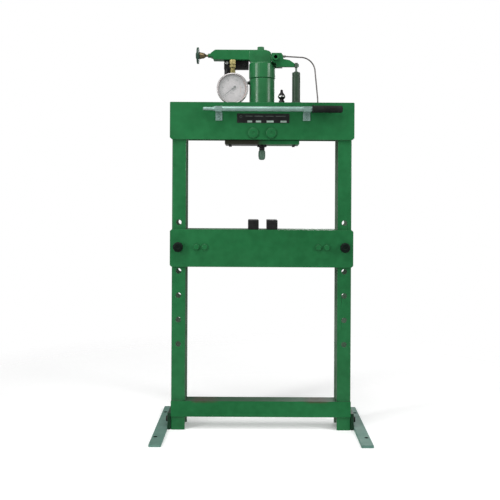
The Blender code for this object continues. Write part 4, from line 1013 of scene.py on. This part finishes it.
def hook(side, bar_y, bar_z, cradle):
    """A strap bent under and in front of the handle, fixed by two screws."""
    node = f"{side}_handle_hook"
    low, high = corners(node)
    strap = 3
    half = strap / 2
    back = high.y - half
    bend = cradle + half
    line = rounded([(back, low.z), (back, bar_z - bend, 4), (bar_y, bar_z - bend)], 4, steps=6)
    line += [Vector(p) for p in arc((bar_y, bar_z), bend, 270, 180, 16)[1:]]
    line += [Vector((bar_y - bend, high.z - 2)), Vector((bar_y - bend - 0.8, high.z))]
    inner, outer = [], []
    for i, p in enumerate(line):
        ahead = (line[min(i + 1, len(line) - 1)] - line[max(i - 1, 0)]).normalized()
        aside = Vector((-ahead.y, ahead.x)) * half
        inner.append(p + aside)
        outer.append(p - aside)
    bm = bmesh.new()
    extrude_outline(bm, inner + outer[::-1], "X", low.x, high.x)
    soften(make(f"{side}_bent_hook", bm, "bright_steel", replaces=(node,)), 0.5, 2, 50)
    screw = above(
        high.y - strap, (0, -1.8), (1.6, -1.8, 0), (1.6, -3.2, 0.2), (3, -3.2, 0.8), (4.4, -1.4, 0.8),
        (4.4, 0.5), (0, 0.5)
    )
    spots = [((low.x + high.x) / 2, 0, z) for z in (low.z + 7, low.z + 19)]
    turned_piece(f"{side}_hook_screws", "bright_steel", screw, *spots, axis="Y", segments=SMALL, reach=0.3)


def name_plate():
    """A black plate with a ring, plain bars and four bare boxes; nothing is written on it."""
    low, high = corners("name_plate")
    size = high - low
    proud, sink = 0.15, 0.4
    front, back = low.y - proud, low.y + sink
    bm = bmesh.new()
    box(bm, low, high)
    soften(make("plate_body", bm, "name_plate", replaces=("name_plate",)), 0.35, 2)

    def marks(spans, bottom, top):
        """Boxes on the plate, placed by shares of its width and height."""
        made = bmesh.new()
        for left, right in spans:
            near = (low.x + left * size.x, front, low.z + bottom * size.z)
            box(made, near, (low.x + right * size.x, back, low.z + top * size.z))
        return made

    boxes = marks(((0.20, 0.29), (0.36, 0.46), (0.565, 0.70), (0.83, 0.945)), 0.05, 0.25)
    make("plate_bare_boxes", boxes, "bright_steel", material=BARE_BOX)
    bars = marks(((0.16, 0.30), (0.33, 0.50), (0.545, 0.70), (0.74, 0.93)), 0.70, 0.735)
    hub = (low.x + 0.075 * size.x, 0, low.z + 0.66 * size.z)
    turned(bars, tube(3.6, 4.6, front, back), "Y", hub, reach=0.1, closed=True)
    make("plate_plain_bars", bars, "gauge_face", material=WORN_MARK)
    rivet = above(low.y, (0, -1.2), (1.2, -1, 1), (2.2, 0), (2.2, sink), (0, sink))
    spots = [(x, 0, z) for x in (low.x + 4, high.x - 4) for z in (low.z + 5, high.z - 5)]
    turned_piece("plate_rivets", "black_steel", rivet, *spots, axis="Y", segments=SMALL, reach=0.3)


# ---- bolster, pins, feet


def pins():
    """Ground pins with fluted knobs."""
    for side, _ in SIDES:
        node = f"{side}_bolster_pin"
        low, high = corners(node)
        radius = (high.x - low.x) / 2
        stand_in(f"{side}_ground_pin", node, [
            (0, low.y), (radius - 1, low.y), (radius, low.y + 1), (radius, high.y - 4, 1),
            (radius - 3, high.y, 1), (0, high.y)
        ], "Y", material=TURNED_STEEL)
        node = f"{side}_pin_knob"
        low, high = corners(node)
        front, back = low.y, high.y
        rim, bore = (high.x - low.x) / 2, radius + GAP
        profile = above(
            front, (0, 1.6), (5, 1.6, 1), (7, 0, 1.2), (12, 0, 3), (16.8, 2.4, 3), (rim, 7, 3)
        ) + [(rim, back - 6, 3), (14.4, back, 2), (bore, back), (bore, front + 9.4), (0, front + 9.4)]
        flutes = scallops(10, 1.1, front + 2.3, back - 1.2)
        stand_in(f"{side}_fluted_knob", node, profile, "Y", segments=FINE, shape=flutes)


BOLT_FLAT = 9.5
BOLT_CROWN = BOLT_FLAT / math.cos(math.pi / 6)
BOLT_SHANK = 6


def foot_bolt(side, sign, face):
    """A hexagon head with a washer, outside the foot bracket."""
    node = f"{side}_foot_bolt_{face}"
    low, high = corners(node)
    bracket_low, bracket_high = corners(f"{side}_foot_bracket")
    outer, inner, seat = (high.x, low.x, bracket_high.x) if sign > 0 else (low.x, high.x, bracket_low.x)
    seat += sign * GAP
    washer = 11.5
    profile = [(0, outer), (BOLT_FLAT - 0.8, outer), (BOLT_CROWN, outer - sign * 1.8)]
    profile += above(seat, (BOLT_CROWN, sign * 1.6), (washer, sign * 1.5), (washer, 0), (BOLT_SHANK, 0))
    profile += [(BOLT_SHANK, inner), (0, inner)]
    flats = hexagon(BOLT_FLAT, *sorted((outer, seat + sign * 1.55)))
    stand_in(f"{side}_hex_bolt_{face}", node, profile, "X", reach=0.3, shape=flats)


def tie_bolt(side, place):
    """A bolt through the bolster, with a hexagon and a washer at both ends."""
    node = f"bolster_{side}_tie_bolt_{place}"
    front = corners(node)[0].y
    seat = corners("bolster_front_channel")[0].y - GAP
    washer = 11.8
    half = [
        (0, front), (BOLT_FLAT - 0.8, front), (BOLT_CROWN, front + 1.7), (BOLT_CROWN, seat - 1.3),
        (washer, seat - 1.25), (washer, seat), (BOLT_SHANK, seat)
    ]
    profile = half + [(radius, -y) for radius, y in reversed(half)]
    stand_in(f"{side}_tie_bolt_{place}_hex", node, profile, "Y", reach=0.3,
             shape=hexagon(BOLT_FLAT, 1.28 - seat, -front, mirrored=True))


def bolts():
    for side, sign in SIDES:
        for face, _ in FACES:
            foot_bolt(side, sign, face)
        for place in ("inner", "outer"):
            tie_bolt(side, place)


# ---- welds and small fittings

RIPPLE = 2.6  # mm from one ripple of a bead to the next
RIPPLE_STEPS = 5
DECK_BEADS = ((-260, -70), (70, 260))  # mm along X, left and right of the reservoir


def ripple(turn):
    """The bead's size at this part of a ripple, with a little unevenness."""
    return 1 + 0.14 * math.sin(math.pi * (turn % 1)) + random.uniform(-0.03, 0.03)


def bead(bm, start, end, radius):
    """A rippled weld bead along a straight joint, tapered at both ends."""
    start, end = Vector(start), Vector(end)
    length = (end - start).length
    steps = max(8, int(length / RIPPLE * RIPPLE_STEPS))
    path, sizes = [], []
    for i in range(steps + 1):
        share = i / steps
        taper = min(1.0, 6 * share + 0.35, 6 * (1 - share) + 0.35)
        sizes.append(taper * ripple(share * length / RIPPLE))
        path.append(start.lerp(end, share) + Vector([random.uniform(-0.12, 0.12) for _ in range(3)]))
    sweep(bm, path, circle(radius, 12), sizes)


def ring_bead(bm, height, radius, thick):
    """A rippled bead round a pipe on the ram's axis."""
    steps = int(2 * math.pi * radius / RIPPLE) * RIPPLE_STEPS
    section = circle(1.0, 10)
    rings = []
    for i in range(steps):
        angle = 2 * math.pi * i / steps
        size = thick * ripple(i / RIPPLE_STEPS)
        places = ((radius + size * a, height + size * b) for a, b in section)
        rings.append([bm.verts.new((r * math.cos(angle), r * math.sin(angle), z)) for r, z in places])
    for ring, after in zip(rings, rings[1:] + rings[:1]):
        skin(bm, ring, after)


def welds():
    """Beads where the crown, the cross member, the brackets, the deck and the reservoir are joined."""
    crown_low, crown_high = corners("crown_front_plate")
    cross_low, cross_high = corners("lower_cross_member")
    deck = corners("crown_top_plate")[1]
    tank = corners("reservoir_tube")[1].x
    bm = bmesh.new()
    for side, sign in SIDES:
        low, high = corners(f"{side}_upright")
        inner, outer = (low.x, high.x) if sign > 0 else (high.x, low.x)
        for _, towards in FACES:
            y = towards * high.y
            bead(bm, (inner + sign * 3, y, crown_low.z), (outer - sign * 3, y, crown_low.z), 2.4)
            bead(bm, (outer, y, crown_low.z + 12), (outer, y, crown_high.z - 12), 2.2)
        for z, margin in ((cross_low.z, 3), (cross_high.z, 6)):
            bead(bm, (inner + sign * margin, low.y, z), (outer - sign * 4, low.y, z), 2.2)
        bracket_low, bracket_high = corners(f"{side}_foot_bracket")
        x = bracket_high.x if sign > 0 else bracket_low.x
        z = corners(f"{side}_foot_bar")[1].z + 0.4
        bead(bm, (x, bracket_low.y + 3, z), (x, bracket_high.y - 3, z), 2.8)
    for _, towards in FACES:
        for left, right in DECK_BEADS:
            bead(bm, (left, towards * deck.y, deck.z), (right, towards * deck.y, deck.z), 1.9)
    ring_bead(bm, deck.z, tank + 0.4, 2.6)
    make("frame_weld_beads", bm, "green_paint", sharp=BEAD_ANGLE)


def small_fittings():
    """The tank's level plug and the retaining plate's screws."""
    high = corners("reservoir_tube")[1]
    face = high.x
    turned_piece("tank_level_plug", "black_steel", above(
        face, (0, 8), (5.4, 8), (6.4, 7), (6.4, 1.6), (8, 1.5), (8, -3), (0, -3)
    ), (0, 0, high.z - 12), axis="-X", segments=SMALL, reach=0.4, shape=hexagon(5.6, face + 1.55, face + 9))
    low, high = corners("ram_retaining_plate")
    screw = above(low.z, (0, -1.6), (2.6, -1.6, 0), (2.6, -4.4, 0.2), (5.4, -4.4), (5.4, 0.4), (0, 0.4))
    spots = [(x, y, 0) for x in (low.x + 18, high.x - 18) for y in (-30, 30)]
    turned_piece("retaining_plate_screws", "black_steel", screw, *spots, segments=SMALL, reach=0.4)


# ---- stage

WHITE = (1, 1, 1)
WORLD_LIGHT = 0.34
FLOOR_GLOW = 0.14
FLOOR_RADIUS = 2.0
LAMPS = (  # name, azimuth from -Y towards +X, height, distance, (width, height), watts
    ("left softbox", -50, 1.45, 2.6, (0.45, 1.6), 37),
    ("right softbox", 61, 1.35, 2.7, (0.40, 1.6), 34),
    ("overhead softbox", -18, 2.75, 1.1, (1.5, 1.1), 34),
    ("back softbox", 160, 1.7, 2.6, (1.4, 1.4), 24),
)
LAMP_AIM = Vector((0, 0, 0.75))
CAMERA_PLACE = (-0.030, -2.781, 0.843)
CAMERA_ROLL = 0.295  # degrees; the camera looks level along +Y
CAMERA_SHIFT = (-0.007, -0.106)
CAMERA_LENS = 54.36
CAMERA_SENSOR = 36


def floor():
    """A pale round floor that fades into the white surroundings."""
    g = Graph("studio_floor", 0.2)
    reach = g.node("VectorMath", {0: g.place}, operation="LENGTH")["Value"]
    fading = g.span(reach, 0.7, 1.9, 1.0, 0.0)
    g.feed(g.shader, {"Alpha": fading, "Emission Color": WHITE, "Emission Strength": FLOOR_GLOW})
    g.finish(g.mix(g.noise(3), (0.94, 0.94, 0.94), (0.97, 0.97, 0.97)), 0.7)
    bm = bmesh.new()
    bmesh.ops.create_circle(bm, cap_ends=True, segments=96, radius=FLOOR_RADIUS)
    put("studio_floor", mesh_of("studio_floor", bm, g.material))


def surroundings():
    """Plain white surroundings that light the object more softly than they look."""
    world = bpy.data.worlds.new("studio")
    bpy.context.scene.world = world
    world.use_nodes = True
    nodes, links = world.node_tree.nodes, world.node_tree.links
    lit, seen = nodes["Background"], nodes.new("ShaderNodeBackground")
    for background, strength in ((lit, WORLD_LIGHT), (seen, 1.0)):
        background.inputs["Color"].default_value = (*WHITE, 1)
        background.inputs["Strength"].default_value = strength
    mixed = nodes.new("ShaderNodeMixShader")
    links.new(nodes.new("ShaderNodeLightPath").outputs["Is Camera Ray"], mixed.inputs[0])
    links.new(lit.outputs[0], mixed.inputs[1])
    links.new(seen.outputs[0], mixed.inputs[2])
    links.new(mixed.outputs[0], nodes["World Output"].inputs["Surface"])


def lamps():
    for name, azimuth, height, distance, size, power in LAMPS:
        light = bpy.data.lights.new(name, "AREA")
        light.shape = "RECTANGLE"
        light.size, light.size_y = size
        light.energy = power
        lamp = put(name, light)
        angle = math.radians(azimuth)
        lamp.location = (distance * math.sin(angle), -distance * math.cos(angle), height)
        lamp.rotation_euler = (LAMP_AIM - lamp.location).to_track_quat("-Z", "Y").to_euler()


def camera():
    scene = bpy.context.scene
    scene.view_settings.view_transform = "Standard"
    lens = bpy.data.cameras.new("camera")
    lens.lens = CAMERA_LENS
    lens.sensor_width = CAMERA_SENSOR
    lens.shift_x, lens.shift_y = CAMERA_SHIFT
    scene.camera = put("camera", lens)
    scene.camera.location = CAMERA_PLACE
    level = Matrix.Rotation(math.pi / 2, 4, "X")
    roll = Matrix.Rotation(math.radians(CAMERA_ROLL), 4, "Z")
    scene.camera.rotation_euler = (level @ roll).to_euler()


for build in (
    kept_nodes, cylinder, ram, press_nose, spring, filler_plug, seat_bolts, release_valve, relief_plugs,
    arm_joint, gauge, pump, oil_pipe, breather, handle, name_plate, pins, bolts, welds, small_fittings,
    floor, surroundings, lamps, camera
):
    build()
